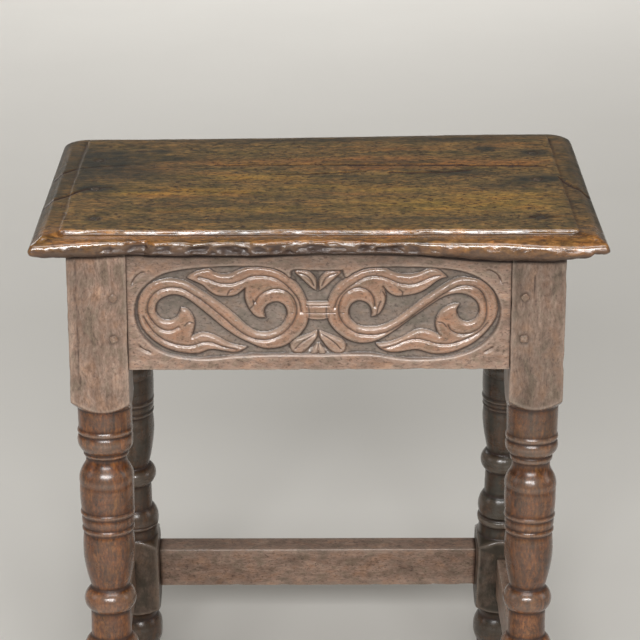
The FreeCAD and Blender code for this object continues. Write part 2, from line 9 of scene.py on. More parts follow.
import bpy
import numpy as np
from bpy.props import FloatProperty, FloatVectorProperty, PointerProperty
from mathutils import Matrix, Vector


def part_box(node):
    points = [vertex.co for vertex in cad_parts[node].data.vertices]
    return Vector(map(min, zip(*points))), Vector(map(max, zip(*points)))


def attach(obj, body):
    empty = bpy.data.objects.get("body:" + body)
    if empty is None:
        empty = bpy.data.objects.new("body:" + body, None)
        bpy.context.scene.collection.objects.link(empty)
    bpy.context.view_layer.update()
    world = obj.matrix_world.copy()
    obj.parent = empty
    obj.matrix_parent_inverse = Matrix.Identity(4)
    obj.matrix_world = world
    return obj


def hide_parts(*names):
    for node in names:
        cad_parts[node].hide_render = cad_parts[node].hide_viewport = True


bl_info = {
    "name": "Joined Oak Stool",
    "version": (1, 0, 0),
    "blender": (4, 5, 0),
    "location": "View3D > Sidebar > Stool",
    "description": "Dresses the packed frame of a joined stool in carved, turned and worn oak",
    "category": "Object",
}

MM = 0.001

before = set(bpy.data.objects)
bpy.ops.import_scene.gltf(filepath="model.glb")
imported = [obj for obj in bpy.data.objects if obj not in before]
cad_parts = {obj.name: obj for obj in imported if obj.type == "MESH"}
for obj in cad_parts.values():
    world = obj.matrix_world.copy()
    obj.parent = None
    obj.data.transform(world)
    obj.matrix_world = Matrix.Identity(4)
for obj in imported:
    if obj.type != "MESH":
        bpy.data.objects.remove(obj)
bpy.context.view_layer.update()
BOARD_LOW, BOARD_HIGH = (np.array(corner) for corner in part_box("seat_board"))
FRAME_TOP = BOARD_LOW[2]

SIDES = {"left": -1, "right": 1}
ENDS = {"front": -1, "rear": 1}

# How finely the pieces are drawn: the lines of the board's field along and across, the lines of
# its edge, the sides of a peg, the spacing of the lines on the carved face, and the lines that
# draw each turned moulding.
FIELD_COLUMNS, FIELD_ROWS = 322, 149
EDGE_LINES = 49
PEG_SIDES = 32
CARVED_PACE = 0.62 * MM
MOULDING_LINES = 15

# The gap between a rail and what it meets, and how far in the pegs reach.
RAIL_GAP = 0.2 * MM
BOARD_PEG_REACH = 28 * MM
JOINT_PEG_REACH = 26 * MM
# Two pegs hold each frieze tenon, at these shares of the rail's height below its top.
FRIEZE_PEG_SHARES = (0.40, 0.745)
# How far the pegs' heads stand out on each side and how dirty their rims are, and how much
# darker than the front left leg the others are painted; on the rear legs this is painted shade
# from the board above as well as darker dirt.
PEG_PROUD = {"left": 0.4 * MM, "right": 0.8 * MM}
PEG_GRIME = {"left": 0.25, "right": 0.5}
LEG_DUSK = {"left": 0.0, "right": 0.14, "front": 0.0, "rear": 0.8}
# The radius of the board's corners at the rear and in front, in millimetres.
REAR_CORNER, FRONT_CORNER = 21, 3.5
# The depth below the board's top at which its broken front edge starts, and how far below the
# frame's top an unworn edge seems to reach, because it hides what is behind it from a camera
# that looks down, both in millimetres.
BREAK_DEPTH = 4.6
LIP_DROP = 4.9

# The turning from the top down, as the frame's legs have it: top and bottom level as shares of
# the turned height, the radius at both and the bow between them as shares of the turned radius.
TURNING_SHARES = (
    (1.0, 0.912, 0.99, 0.975, 0.0),
    (0.912, 0.895, 0.98, 0.98, 0.045),
    (0.893, 0.830, 0.945, 0.815, 0.14),
    (0.830, 0.813, 0.78, 0.78, 0.045),
    (0.813, 0.785, 0.745, 0.79, -0.03),
    (0.782, 0.715, 0.81, 0.99, 0.085),
    (0.715, 0.622, 0.99, 0.955, 0.025),
    (0.622, 0.605, 0.955, 0.955, 0.045),
    (0.603, 0.563, 0.94, 0.91, 0.035),
    (0.563, 0.546, 0.92, 0.92, 0.045),
    (0.544, 0.445, 0.90, 0.93, 0.03),
    (0.445, 0.332, 0.93, 0.67, 0.03),
    (0.332, 0.248, 0.70, 0.735, 0.24),
    (0.248, 0.147, 0.735, 0.745, 0.0),
    (0.147, 0.071, 0.755, 0.84, 0.215),
    (0.071, 0.046, 0.975, 0.975, 0.06),
    (0.044, 0.0, 0.945, 0.99, -0.02),
)
FOOT_SHARES = (
    (1.0, 0.84, 0.95, 0.80, -0.05),
    (0.84, 0.39, 0.815, 0.885, 0.20),
    (0.39, 0.05, 0.86, 0.775, 0.02),
    (0.05, -0.08, 0.775, 0.775, 0.0),
)

# No two legs were turned alike. For each, levels on the leg and how far its mouldings there lie
# above the shared pattern, in millimetres.
LEVEL_SHIFTS = {
    ("front", "left"): ((144, 0), (286, 0), (328, 1.2), (335, 2.1), (339, 1.9), (358, 2.6),
                        (379, -0.3)),
    ("front", "right"): ((144, 0), (276, -2), (288, -3.4), (310, -4), (328, -5), (335, -3.7),
                         (339, -1.4), (356, -3.8), (379, 0.4)),
    ("rear", "left"): ((144, 0), (158, -1), (170, -11), (179, -6), (202, -4), (222, -6),
                       (249, 1.3), (274, -0.4), (288, -3), (339, 0), (379, 0)),
    ("rear", "right"): ((144, 0), (160, 1.2), (170, 3), (179, 7.4), (202, 8.6), (222, 8.4),
                        (249, 12.6), (274, 5.4), (288, -0.8), (339, 0), (379, 0)),
}

# The carved scrolls of the frieze, in millimetres right of and below the top left corner of its
# panel. Each scroll's edge runs through curves that meet at sharp tips.
LEFT_SCROLL = (
    ((49.1, 14.6), (53.8, 10.2), (59.6, 7.8), (66.4, 7.1), (71.1, 10.2), (76.8, 11.9),
     (83.7, 11.1), (88.3, 8.4), (97.5, 5.2), (107.3, 5.5), (117, 7.5), (124.8, 10.9),
     (130.7, 15.3), (136.5, 21), (140.9, 28.7), (143.5, 37), (144.5, 45.3), (142.4, 53.6),
     (136.5, 62), (126.8, 69.8), (117, 72.7), (107.3, 72.2), (97.5, 68), (87.8, 63),
     (78, 55.7), (68.3, 47.4), (58.5, 39.1), (48.8, 31.4), (40, 28.2), (32.7, 29.6),
     (26.3, 33.6), (23.9, 40.1), (25.5, 45.5), (29.8, 48.8), (34.6, 49.5), (39.5, 47.6),
     (42.4, 43.8), (43.9, 39.1)),
    ((43.9, 39.1), (48.8, 40.4), (52.8, 45.6), (54.4, 52.6), (52.2, 62.6)),
    ((52.2, 62.6), (58.5, 59.9), (66.3, 60.4), (74.1, 64), (82.9, 69.2), (95.6, 71.8)),
    ((95.6, 71.8), (87.8, 75.5), (80, 75.2), (70.2, 73.4), (64.4, 73.9), (56.6, 76.6),
     (48.8, 76.3), (39, 74.4), (29.3, 70.3), (19.5, 63), (12.7, 54.1), (9.8, 42.6),
     (11, 31.8), (15.6, 23.4), (22.4, 18), (32.2, 15.4), (41.9, 16), (50, 18.6), (60.5, 25.6),
     (72.2, 33.6), (80.9, 40.2), (87.8, 46.4), (94.6, 53), (101.4, 57.8), (108.2, 59.6),
     (115.1, 58.6), (121.9, 54.8), (126.3, 48.2), (127.2, 42.2), (125.2, 37.2), (120.9, 34.4),
     (116, 34.6), (111.4, 37.2), (109.2, 41.7), (110.2, 47.4)),
    ((110.2, 47.4), (103.4, 46.4), (97.5, 40.1), (94.3, 31.8), (94.6, 23)),
    ((94.6, 23), (87.8, 28.2), (80.9, 29.7), (72.2, 29.2), (66.3, 25.6), (60.5, 20.4),
     (49.1, 14.6)),
)
RIGHT_SCROLL = (
    ((252.6, 14.7), (247, 9.4), (243, 7.4), (238.6, 7.1), (234.2, 8.6), (229.3, 10.9),
     (223.4, 12.1), (217.5, 11.8), (211.7, 10.6), (207.4, 8.4), (203.8, 6.4), (197.9, 6.2),
     (192.1, 6.8), (186.2, 8.3), (180.3, 10.6), (174.4, 14), (168.5, 18.4), (164.6, 22.6),
     (161.2, 28.3), (159.2, 34.4), (158.4, 40.7), (158.9, 47), (161.2, 52.9), (165.6, 58.4),
     (171.5, 63.2), (177.4, 66.5), (184.2, 68.1), (190.1, 68.1), (197, 66.6), (203.8, 63.2),
     (211.7, 58), (219.5, 52), (227.4, 45.9), (235.2, 40.2), (243, 34.6), (248.9, 31),
     (254.8, 28.8), (261.7, 27.9), (267.5, 28.7), (273.4, 31.8), (276.9, 36), (278.1, 40.7),
     (277.2, 45.4), (274.4, 49.1), (270.5, 50.9), (266.1, 50.7), (262.6, 48.5), (260.7, 44.9),
     (260.2, 40.6), (262.4, 36.3)),
    ((262.4, 36.3), (257.4, 36.4), (252.8, 38), (248.4, 41.2), (245.2, 46), (243.9, 52.2),
     (245, 57.2), (247, 61.6)),
    ((247, 61.6), (243.2, 59.6), (238.6, 57.8), (233.2, 56.9), (228.6, 57.6), (223.4, 60.2),
     (218.5, 63.4), (212.6, 66.2), (206.7, 67.9), (197, 68.8)),
    ((197, 68.8), (199.9, 72.2), (204.8, 74.9), (209.7, 76.1), (215.6, 76), (221.5, 75),
     (227.4, 74), (232.3, 74.5), (236.8, 76), (241.6, 77.1), (247, 77.4), (252.8, 76.8),
     (260.7, 74.7), (268.5, 71.2), (275.4, 66.8), (282.3, 60.6), (288.1, 53.2), (291.6, 45.9),
     (292.8, 38.6), (291.6, 31.3), (288.1, 24.5), (283.2, 19.4), (277.4, 16.1), (270.5, 14.6),
     (263.6, 14.8), (257.7, 16.4), (252.4, 19.2), (247, 22.6), (241.1, 26.6), (233.2, 32.3),
     (225.4, 38.6), (217.5, 44.9), (210.7, 49.8), (203.8, 53.2), (197.9, 54.9), (192.1, 55.4),
     (186.2, 54.8), (181.3, 52.9), (177.4, 49.2), (175.6, 44.6), (175.9, 40.2), (178, 36.4),
     (181.3, 34.2), (185.2, 33.6), (189.1, 34.9), (192.1, 38.1), (193.4, 42.4), (192.9, 46.9)),
    ((192.9, 46.9), (198.2, 45.2), (201.6, 40.9), (203.9, 35.5), (204.7, 30.2), (204, 25.6),
     (202.6, 21.6)),
    ((202.6, 21.6), (205.6, 25.4), (209, 28), (213.6, 29.6), (219.5, 29.2), (227.4, 27.8),
     (233.2, 25.8), (239.1, 22), (244, 17.9), (248.6, 15.4), (252.6, 14.7)),
)
# The lines cut into the scrolls: along the strap, up the leaves and at their folds, with their
# widths and depths.
SCROLL_GROOVES = (
    (2.3, 1.5, ((41.9, 54.7), (35.1, 57.3), (28.3, 55.7), (21.5, 49.5), (17.6, 41.2),
                (19.2, 32.2), (25.4, 25.4), (34.1, 22.2), (43.9, 22.8), (51.7, 26.6),
                (60.5, 32.8), (70.2, 40.7), (78, 47.5), (85.8, 54.6), (93.6, 60.7),
                (102.4, 64.6), (112.1, 65.2), (121.9, 61.4), (129.7, 54), (133.8, 46.4),
                (134.9, 39.1), (132.4, 30.8), (126.4, 25), (118.5, 23.2), (110.6, 25.4),
                (105.2, 29.4), (102.2, 34))),
    (2.1, 1.4, ((14.6, 46.1), (19.5, 54.6), (25.4, 61), (32.2, 65.6), (41.9, 69), (51.7, 69.8),
                (60.5, 67.2), (68.3, 67.4), (78, 71.2), (87.4, 73.2))),
    (2.1, 1.4, ((58.5, 13.6), (66.3, 15.8), (74.1, 18.8), (82.9, 19.2), (90.7, 17), (97.5, 13.8),
                (105.3, 12.6), (115.1, 13.8), (123.8, 18), (130.9, 24.6), (136.6, 32.8),
                (138.6, 41.6))),
    (1.0, 0.8, ((46.6, 53.6), (49.6, 50.6), (53.4, 51.4))),
    (1.0, 0.8, ((80.6, 28.2), (82.2, 25), (84.8, 23.4))),
    (1.0, 0.8, ((98, 39.2), (101.2, 35.8), (100.6, 32))),
    (2.3, 1.5, ((253.8, 53.6), (255.8, 57), (259.7, 59.4), (265.6, 60.6), (272, 59.6),
                (277.8, 56.4), (281.4, 51.8), (283.4, 45.9), (283.8, 39.6), (282.7, 32.3),
                (279.6, 26.2), (274.4, 22.4), (267.5, 21.2), (261.7, 21.9), (255.8, 24.4),
                (247.9, 29), (240.1, 34.7), (231.3, 41), (223.4, 47.3), (215.6, 53),
                (207.7, 57.8), (200.9, 60.4), (193, 61.3), (184.2, 60.2), (177.4, 57),
                (171.5, 51.7), (168.5, 45.9), (167.7, 39.6), (168.9, 33.2), (172.2, 27.6),
                (177.4, 23.8), (183.2, 22.4), (189.1, 23.8), (193, 27), (195.5, 31.8),
                (196, 37.6))),
    (2.1, 1.4, ((247, 12.8), (241.1, 13.8), (235.2, 16.4), (229.3, 18.8), (223.4, 19.8),
                (217.5, 19.2), (211.7, 17.4), (205.8, 14.9), (199.9, 13.4), (194, 13.2),
                (188.1, 14.6), (180.3, 19), (172.5, 24.6), (167.2, 31.2), (164.6, 38.6))),
    (2.1, 1.4, ((203, 72), (207.7, 71.2), (213.6, 69.4), (219.5, 66.5), (225.4, 65),
                (231.3, 64.8), (237.2, 66.1), (243, 67.9), (248.9, 68.9), (255.8, 68.6),
                (262.6, 66.8), (270.5, 63.4), (278.6, 58.2), (284.8, 51))),
    (1.0, 0.8, ((245.6, 50.4), (249.6, 51.2), (252.4, 54.6))),
    (1.0, 0.8, ((217.6, 29), (217.8, 26), (215.4, 23.6))),
    (1.0, 0.8, ((197.4, 44.8), (198.4, 38.6), (200.6, 33.4))),
    (1.0, 0.8, ((203.2, 38), (204.6, 31), (202.2, 25.4))),
)
# The edge of the sunk ground, anticlockwise as seen, from the middle of its top.
GROUND_EDGE = (
    (151.5, 8.2), (132, 8), (129.6, 13.8), (124.8, 10.3), (117, 6.9), (107.3, 5.3), (97.5, 4.7),
    (82.9, 4.6), (68.3, 5.2), (52.7, 6.4), (39, 8.8), (29.3, 11.6), (19.5, 17.6), (11.6, 26),
    (8.2, 34), (7.2, 42.4), (8.4, 51), (11.8, 59.4), (18.2, 67.2), (24.9, 72.4), (32.6, 76.2),
    (42.2, 78.9), (54.6, 80.4), (68.3, 80.4), (82.9, 79), (97.5, 78.1), (115, 77.6),
    (151.5, 77.6), (182.3, 76.8), (192, 76.9), (200, 78), (209.7, 79.9), (219.5, 81.2),
    (230.3, 81.7), (241.1, 81.3), (251.9, 80.2), (261.7, 78.2), (270.5, 75.2), (278.3, 71),
    (285.2, 65.4), (290.8, 58.5), (293.8, 51.2), (295.2, 43.8), (294.6, 36.5), (291.8, 29.2),
    (287.8, 22.9), (282.1, 17.6), (276.4, 13.8), (270.5, 11.3), (262.6, 9), (252.8, 7.3),
    (243, 6.6), (233.2, 6), (223.4, 5.6), (213.6, 5.3), (203.8, 5.4), (190, 6.2), (180, 9.8),
    (173.6, 13.8), (171, 8),
)
# The leaves between the scrolls and the lines cut into them, as offsets from the middle and
# depths below the panel's top.
CROWN_LEAF = ((1.1, 25.2), (0.8, 17.6), (3.3, 12.2), (7.2, 9), (12.1, 8.4), (17.2, 8.2),
              (17.9, 10.4), (14.1, 14.2), (9.2, 18.9), (5.3, 22.6))
FAN_LEAF = ((0.6, 57.6), (6, 60.2), (13, 62.8), (19, 65.4), (22, 69.4), (21.6, 73.6),
            (18.4, 76.6), (13.5, 76.6), (9, 73.4), (4.5, 68.4), (1, 63.2))
FAN_TONGUE = ((0.2, 67.6), (3.4, 71.6), (6.2, 76.8), (0.2, 77))
LEAF_GROOVES = (
    (1.3, 1.0, ((15.2, 10.6), (10, 12.2), (5.8, 15.4), (3, 21))),
    (1.3, 1.0, ((2.4, 60.4), (7.6, 63.6), (13.6, 68), (18, 72.8))),
)
# The band that ties the scrolls together: half its width, then its top and foot.
CLASP = (9.4, 34.2, 47.8)
CLASP_LINES = (37.2, 42.9, 46.2)
# The curved cuts in the panel's corners, outside the ground.
CORNER_CUTS = (
    ((5.6, 22.1), (7.6, 15.8), (12.4, 10.9), (18.6, 8.6)),
    ((8.8, 67.2), (13.7, 72.5), (22.4, 75.8)),
    ((280.8, 7.4), (287.4, 9.6), (292.6, 13.8), (295.4, 20.8)),
    ((279.6, 76), (286.4, 73.4), (291.4, 68.6)),
)

# The board's edge, from the field out to the underside: inset from the outline and depth below
# the top, in millimetres, then how hollow, how worn and how moulded each line of it is. The
# hollow of the lower nose and the underside is painted shade; in the quirk at the step's foot it
# is dirt.
BOARD_EDGE = (
    (26.5, 0.0, 0.0, 0.1, 0.0), (25.4, 0.1, 0.0, 0.3, 0.3), (24.4, 0.4, 0.0, 0.9, 0.7),
    (23.8, 0.95, 0.0, 1.0, 0.9), (23.3, 2.0, 0.0, 0.7, 1.0), (22.85, 3.0, 0.3, 0.0, 1.0),
    (22.3, 3.9, 1.0, 0.0, 1.0),
    (21.2, 4.0, 0.8, 0.0, 1.0), (19.6, 3.5, 0.1, 0.0, 1.0), (15.0, 3.3, 0.0, 0.1, 1.0),
    (10.0, 3.6, 0.0, 0.1, 1.0), (5.8, 4.5, 0.0, 0.3, 1.0), (3.1, 5.8, 0.0, 1.0, 1.0),
    (1.9, 7.6, 0.0, 0.9, 1.0), (1.05, 9.5, 0.1, 0.3, 1.0), (0.5, 11.2, 0.4, 0.1, 1.0),
    (0.7, 12.8, 0.6, 0.0, 1.0), (2.2, 14.6, 0.95, 0.0, 0.8), (5.0, 16.2, 1.0, 0.0, 0.4),
    (9.0, 17.0, 1.0, 0.0, 0.0), (14.0, 17.0, 0.8, 0.0, 0.0),
)
# The wear of the board's front edge, in millimetres: the place from the middle, how far in the
# broken bevel starts at the top, and how far the moulding and the lower edge have sunk.
FRONT_WEAR = (
    (-230, 0, 0.5, 0.5), (-215, 0, 0, 0), (-200, 0.6, -1, 0.4), (-184, 2.4, -2, -0.4),
    (-165, 4.5, -1.8, -1.3), (-140, 8, -0.6, -2.7), (-132, 5.6, -0.6, -1.4), (-100, 6, 0, -1.2),
    (-69, 6.6, 0, -1.3), (-50, 6, 0, -0.8), (-30, 7.6, -0.3, -1.8), (0, 8, -0.3, -3.3),
    (22, 6.4, 0, -3.4), (60, 5.4, 0, -2.5), (80, 4, -0.4, -1.8), (100, 3, -0.8, 0.4),
    (118, 2, -1, 2), (145, 1, -0.6, 3.4), (165, 0.4, 0.6, 3.8), (185, 0, 1.6, 4),
    (200, 0.2, 2, 3.2), (211, 0.4, 1.8, 1.8), (215, 2.4, 1.4, -1.6), (224, 0, 0.5, -1.8),
)
# Drying cracks in the board: their ends, in millimetres from its middle, half width and depth.
SHAKES = (
    ((-87, 47.5), (40, 46), 1.1, 1.1), ((28, 45), (120, 41), 1.4, 1.6),
    ((110, 41.5), (192, 38), 1.3, 1.3), ((201, 10), (208, -8), 1.2, 1.6),
    ((208, -8), (221, -30), 1.2, 1.5), ((-170, -12), (-189, -16), 0.9, 0.9),
    ((-189, -16), (-222, -53), 1.3, 1.2), ((-160, 48), (-205, 39.5), 0.8, 0.7),
    ((-205, 39.5), (-221, 20), 1.2, 1.0), ((-120, -22), (-60, -30), 0.8, 0.6),
    ((166, -92), (190, -90), 1.1, 1.0), ((98, 22), (128, 30), 1.3, 1.3),
    ((-40, 20), (40, 26), 0.9, 0.7), ((60, 24), (98, 22), 1.3, 1.4),
)
# Cracks and scribed lines in the front faces of the front legs, in a leg's own frame: their ends
# across the leg from the lathe axis and along it, in millimetres, half width and depth.
LEG_CRACKS = {
    ("front", "right"): (((-4.2, 494), (-1.8, 472), 0.8, 0.5),
                         ((-1.8, 472), (-0.8, 452), 0.7, 0.22),
                         ((-8.1, 456), (-4.1, 412), 0.7, 0.2)),
    ("front", "left"): (((-17.9, 505), (-17.2, 400), 0.8, 0.35),),
}
# Dark marks and warm streaks on the board: the middle, the reach along and across the grain, in
# millimetres, and the strength.
DARK_MARKS = (
    (-206, 45, 30, 60, 1.0), (-180, 62, 36, 24, 1.7), (-150, 66, 50, 9, 1.0),
    (-183, -16, 20, 11, 1.0), (-168, 28, 44, 22, 0.8),
    (-136, 86, 12, 7, 0.9), (-122, 65, 9, 6, 0.8), (-138, -21, 22, 5, 0.6),
    (185, 73, 15, 9, 1.0), (182, 5, 26, 11, 1.0), (145, 85, 13, 8, 0.9), (118, 22, 40, 9, 0.7),
    (150, -12, 22, 8, 0.6), (60, 52, 60, 7, 0.4), (0, 118, 150, 9, 0.6), (120, 112, 70, 8, 0.7),
    (-30, -96, 120, 10, 0.4), (90, -100, 60, 8, 0.4), (176, -90, 12, 5, 0.8),
    (40, 14, 40, 6, 0.3), (-90, -62, 70, 8, 0.35), (205, -60, 10, 50, 0.4),
    (208, 60, 8, 60, 0.5), (-216, 0, 12, 110, 0.8), (216, 20, 12, 100, 0.8),
)
WARM_STREAKS = (
    (30, 57, 90, 9, 1.0), (130, 47, 70, 10, 1.0), (60, 36, 70, 6, 0.7), (-80, 52, 70, 8, 0.6),
    (-150, 40, 40, 8, 0.7), (60, 88, 70, 6, 0.5), (-100, -36, 60, 6, 0.5), (20, -30, 60, 6, 0.3),
    (160, 95, 30, 8, 0.4),
)
GOLD_STREAKS = (
    (-110, -26, 70, 12, 1.0), (-60, 12, 60, 9, 0.6), (60, -20, 50, 9, 0.7),
    (110, -60, 90, 22, 0.8), (0, -12, 60, 8, 0.5), (-150, 70, 40, 10, 0.6),
    (150, -40, 60, 14, 0.7), (-40, -70, 120, 10, 0.4),
)


def linear(code):
    """The linear colour that a shader takes for an sRGB hex code."""
    channels = [int(code[place:place + 2], 16) / 255 for place in (1, 3, 5)]
    return [c / 12.92 if c <= 0.04045 else ((c + 0.055) / 1.055) ** 2.4 for c in channels]


def size(name, description, millimetres):
    """A length that a user may change, given in millimetres."""
    return FloatProperty(name=name, description=description, default=millimetres * MM,
                         unit="LENGTH", precision=4)


def colour(name, description, code):
    """A colour that a user may change, given as an sRGB hex code."""
    return FloatVectorProperty(name=name, description=description, default=linear(code),
                               subtype="COLOR", size=3, min=0, max=1)


class JoinerySizes(bpy.types.PropertyGroup):
    """The shape of the frame's members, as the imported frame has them."""

    rake: FloatProperty(
        name="Rake", description="Lean of the front and rear legs out towards the floor",
        default=math.radians(4.36), subtype="ANGLE")
    inset_ends: size("Frame inset", "From the board's front edge in to the frame", 19)
    stile_depth: size("Stile depth", "Depth of each leg's square stock", 46)
    lathe_offset_left: size("Left lathe offset", "Lathe axis from the left stock's middle", 1.7)
    lathe_offset_right: size("Right lathe offset", "Lathe axis from the right stock's middle", 0)
    turned_left: size("Left turned radius", "Largest turned radius of the left legs", 22.3)
    turned_right: size("Right turned radius", "Largest turned radius of the right legs", 21)
    frieze_height: size("Frieze height", "Height of the rails under the board", 98)
    rail_thickness: size("Rail thickness", "Thickness of frieze rails and stretchers", 22)
    stile_drop: size("Block drop", "Square stock that shows below the frieze", 36)
    shoulder_rise: size("Shoulder rise", "Rise of each block's end to its corners", 9.5)
    stretcher_level: size("Stretcher level", "Height of the stretchers above the floor", 83)
    stretcher_height: size("Stretcher height", "Height of each stretcher", 40)
    stretcher_setback: size("Stretcher setback", "Stretcher face in from the stile's face", 3)
    block_margin: size("Block margin", "Square stock above and below the stretchers", 21)
    peg_radius: size("Peg radius", "Radius of the pegs in the joints", 3.3)
    peg_inset: size("Peg inset", "Peg from the shoulder of its rail", 11)
    board_peg_radius: size("Board peg radius", "Radius of the pegs through the board", 4)


class WearSizes(bpy.types.PropertyGroup):
    """What carving and long use have taken off the wood."""

    panel_left: size("Panel left", "Left edge of the carved panel from the middle", -152.2)
    panel_top: size("Panel top", "Top of the carved panel above the floor", 506.35)
    panel_middle: size("Panel middle", "Middle of the carved panel from the stool's middle", -0.7)
    carving_depth: size("Carving depth", "Depth of the sunk ground", 3.4)
    arris: size("Worn arris", "Rounding of the square edges", 1.8)
    dent: size("Dents", "Depth of dents in flat faces", 0.28)
    board_lift: size("Board lift", "How far the board's rear right corner has lifted", 4.6)


class FinishColours(bpy.types.PropertyGroup):
    """The colours of the old surfaces."""

    board_dark: colour("Board dark", "Dark streaks of the waxed board", "#39301B")
    board_mid: colour("Board", "Body colour of the waxed board", "#67502D")
    board_light: colour("Board light", "Light streaks of the waxed board", "#8C6B3B")
    edge_dark: colour("Moulding dark", "Dark streaks of the rubbed moulding", "#553212")
    edge_mid: colour("Moulding", "Body colour of the rubbed moulding", "#80521D")
    edge_light: colour("Moulding light", "Light streaks of the rubbed moulding", "#A8733A")
    frame_dark: colour("Frame dark", "Dark streaks of the dry frame", "#6B5344")
    frame_mid: colour("Frame", "Body colour of the dry frame", "#8B7263")
    frame_light: colour("Frame light", "Light streaks of the dry frame", "#A68D7C")
    turned_dark: colour("Turned dark", "Dark streaks of the polished turning", "#29140A")
    turned_mid: colour("Turned", "Body colour of the polished turning", "#5E3415")
    turned_light: colour("Turned light", "Light streaks of the polished turning", "#8A5628")
    relief: colour("Relief", "Rubbed surface of the carved figure", "#92694E")
    ground: colour("Ground", "Dusty sunk ground of the carving", "#756A61")
    # The dirt colour is also laid as painted shadow under the board's front edge and as painted
    # shade on the board's underside, and the stain colour as painted shade on the rear legs and on
    # the frame's top under the board.
    dirt: colour("Dirt", "Wax and dirt in hollows", "#2C180F")
    stain: colour("Stain", "Iron and water stain", "#27251C")
    warm: colour("Warm", "Red heart of the oak where the wax has gone", "#8A5B30")
    gold: colour("Gold", "Pale figure of the oak", "#96732F")
    # The worn colour is also the painted highlight on the carving's up-facing slopes.
    worn: colour("Worn", "Pale wood where edges are rubbed through", "#B9A798")
    torn: colour("Torn", "Weathered wood in chips", "#66503F")
    peg: colour("Peg", "Riven pegs", "#7A5F4C")
    floor: colour("Floor", "Pale studio floor", "#E0DDD7")


# Numbers worked out over whole arrays.


def lattice(cells, seed):
    """A number from -1 to 1 for each whole-number place, mixed from its three counts."""
    n = cells.astype(np.int64)
    mixed = n[..., 0] * 374761393 + n[..., 1] * 668265263 + n[..., 2] * 461845907 + seed * 83492791
    mixed = ((mixed & 0xFFFFFFFF) ^ ((mixed & 0xFFFFFFFF) >> 13)) * 1274126177 & 0xFFFFFFFF
    mixed ^= mixed >> 16
    return mixed / 2147483647.5 - 1.0


def noise(points, reach, seed):
    """Smooth noise from -1 to 1: the lattice numbers at a cell's eight corners, each weighted
    by the product of three cubic steps, where a cell is as large as the reach."""
    places = np.asarray(points) / reach
    low = np.floor(places)
    share = places - low
    share = share * share * (3 - 2 * share)
    total = np.zeros(places.shape[:-1])
    for corner in np.ndindex(2, 2, 2):
        weight = np.prod(np.where(corner, share, 1 - share), axis=-1)
        total += weight * lattice(low + corner, seed)
    return total


def cloud(points, reach, seed, octaves):
    """Noise summed over octaves, each half as large and half as strong as the last."""
    scale = np.asarray(reach, float)
    return sum(noise(points, scale / 2 ** k, seed + k) / 2 ** k for k in range(octaves))


def step(values, low, high):
    """A cubic step from 0 at low to 1 at high."""
    share = np.clip((values - low) / (high - low), 0, 1)
    return share * share * (3 - 2 * share)


def curve(points, pace):
    """Points along a smooth curve through the given ones, about a pace apart: on each stretch
    the Catmull-Rom cubic of its two ends and their outer neighbours."""
    given = np.array(points, float)
    padded = np.concatenate([[2 * given[0] - given[1]], given, [2 * given[-1] - given[-2]]])
    counts = np.maximum(np.ceil(np.linalg.norm(np.diff(given, axis=0), axis=1) / pace), 1)
    stretch = np.repeat(np.arange(len(given) - 1), counts.astype(int))
    share = np.concatenate([np.arange(count) / count for count in counts])[:, None]
    a, b, c, d = (padded[stretch + offset] for offset in range(4))
    run = 0.5 * (2 * b + (c - a) * share + (2 * a - 5 * b + 4 * c - d) * share ** 2
                 + (3 * b - a - 3 * c + d) * share ** 3)
    return np.concatenate([run, given[-1:]])


def line_distance(points, line):
    """The distance from each point to a run of straight stretches: for each stretch, the point's
    foot on it, held between its ends, and the least of these distances."""
    nearest = np.full(len(points), np.inf)
    for start, end in zip(line[:-1], line[1:]):
        along = end - start
        offset = points - start
        share = np.clip(offset @ along / max(along @ along, 1e-12), 0, 1)
        nearest = np.minimum(nearest, ((offset - share[:, None] * along) ** 2).sum(axis=1))
    return np.sqrt(nearest)


def inside_distance(points, loop):
    """The distance to a closed outline, negative outside it: a point is inside when a ray to
    the right crosses the outline an odd number of times."""
    closed = np.concatenate([loop, loop[:1]])
    crossed = np.zeros(len(points), bool)
    for start, end in zip(closed[:-1], closed[1:]):
        if start[1] == end[1]:
            continue
        spans = (start[1] > points[:, 1]) != (end[1] > points[:, 1])
        share = (points[:, 1] - start[1]) / (end[1] - start[1])
        crossed ^= spans & (points[:, 0] < start[0] + share * (end[0] - start[0]))
    distance = line_distance(points, closed)
    return np.where(crossed, distance, -distance)


def rounded_outline(corners, radius, paces):
    """Points round a polygon, anticlockwise, with its corners rounded by a parabola that
    leaves each side a radius before the corner. Each side is walked at its own pace."""
    corners = np.array(corners, float)
    points = []
    for place, corner in enumerate(corners):
        following = corners[(place + 1) % len(corners)]
        before = corners[place - 1] - corner
        after = following - corner
        before *= radius / np.linalg.norm(before)
        length = np.linalg.norm(after)
        after *= radius / length
        share = np.linspace(0, 1, 5)[:, None]
        points.append(corner + before * (1 - share) ** 2 + after * share ** 2)
        count = max(int((length - 2 * radius) / paces[place]), 1)
        share = (np.arange(1, count) / count)[:, None]
        points.append(corner + after + share * (following - corner - 2 * after))
    return np.concatenate(points)


# Meshes.


def grid_faces(rows, columns, closed=True):
    """Quads of a grid whose rows follow one another. Closed joins the last column to the first."""
    row = np.arange(rows - 1)[:, None] * columns
    column = np.arange(columns if closed else columns - 1)
    following = (column + 1) % columns
    corners = (row + column, row + following, row + columns + following, row + columns + column)
    return np.stack(corners, axis=-1).reshape(-1, 4)


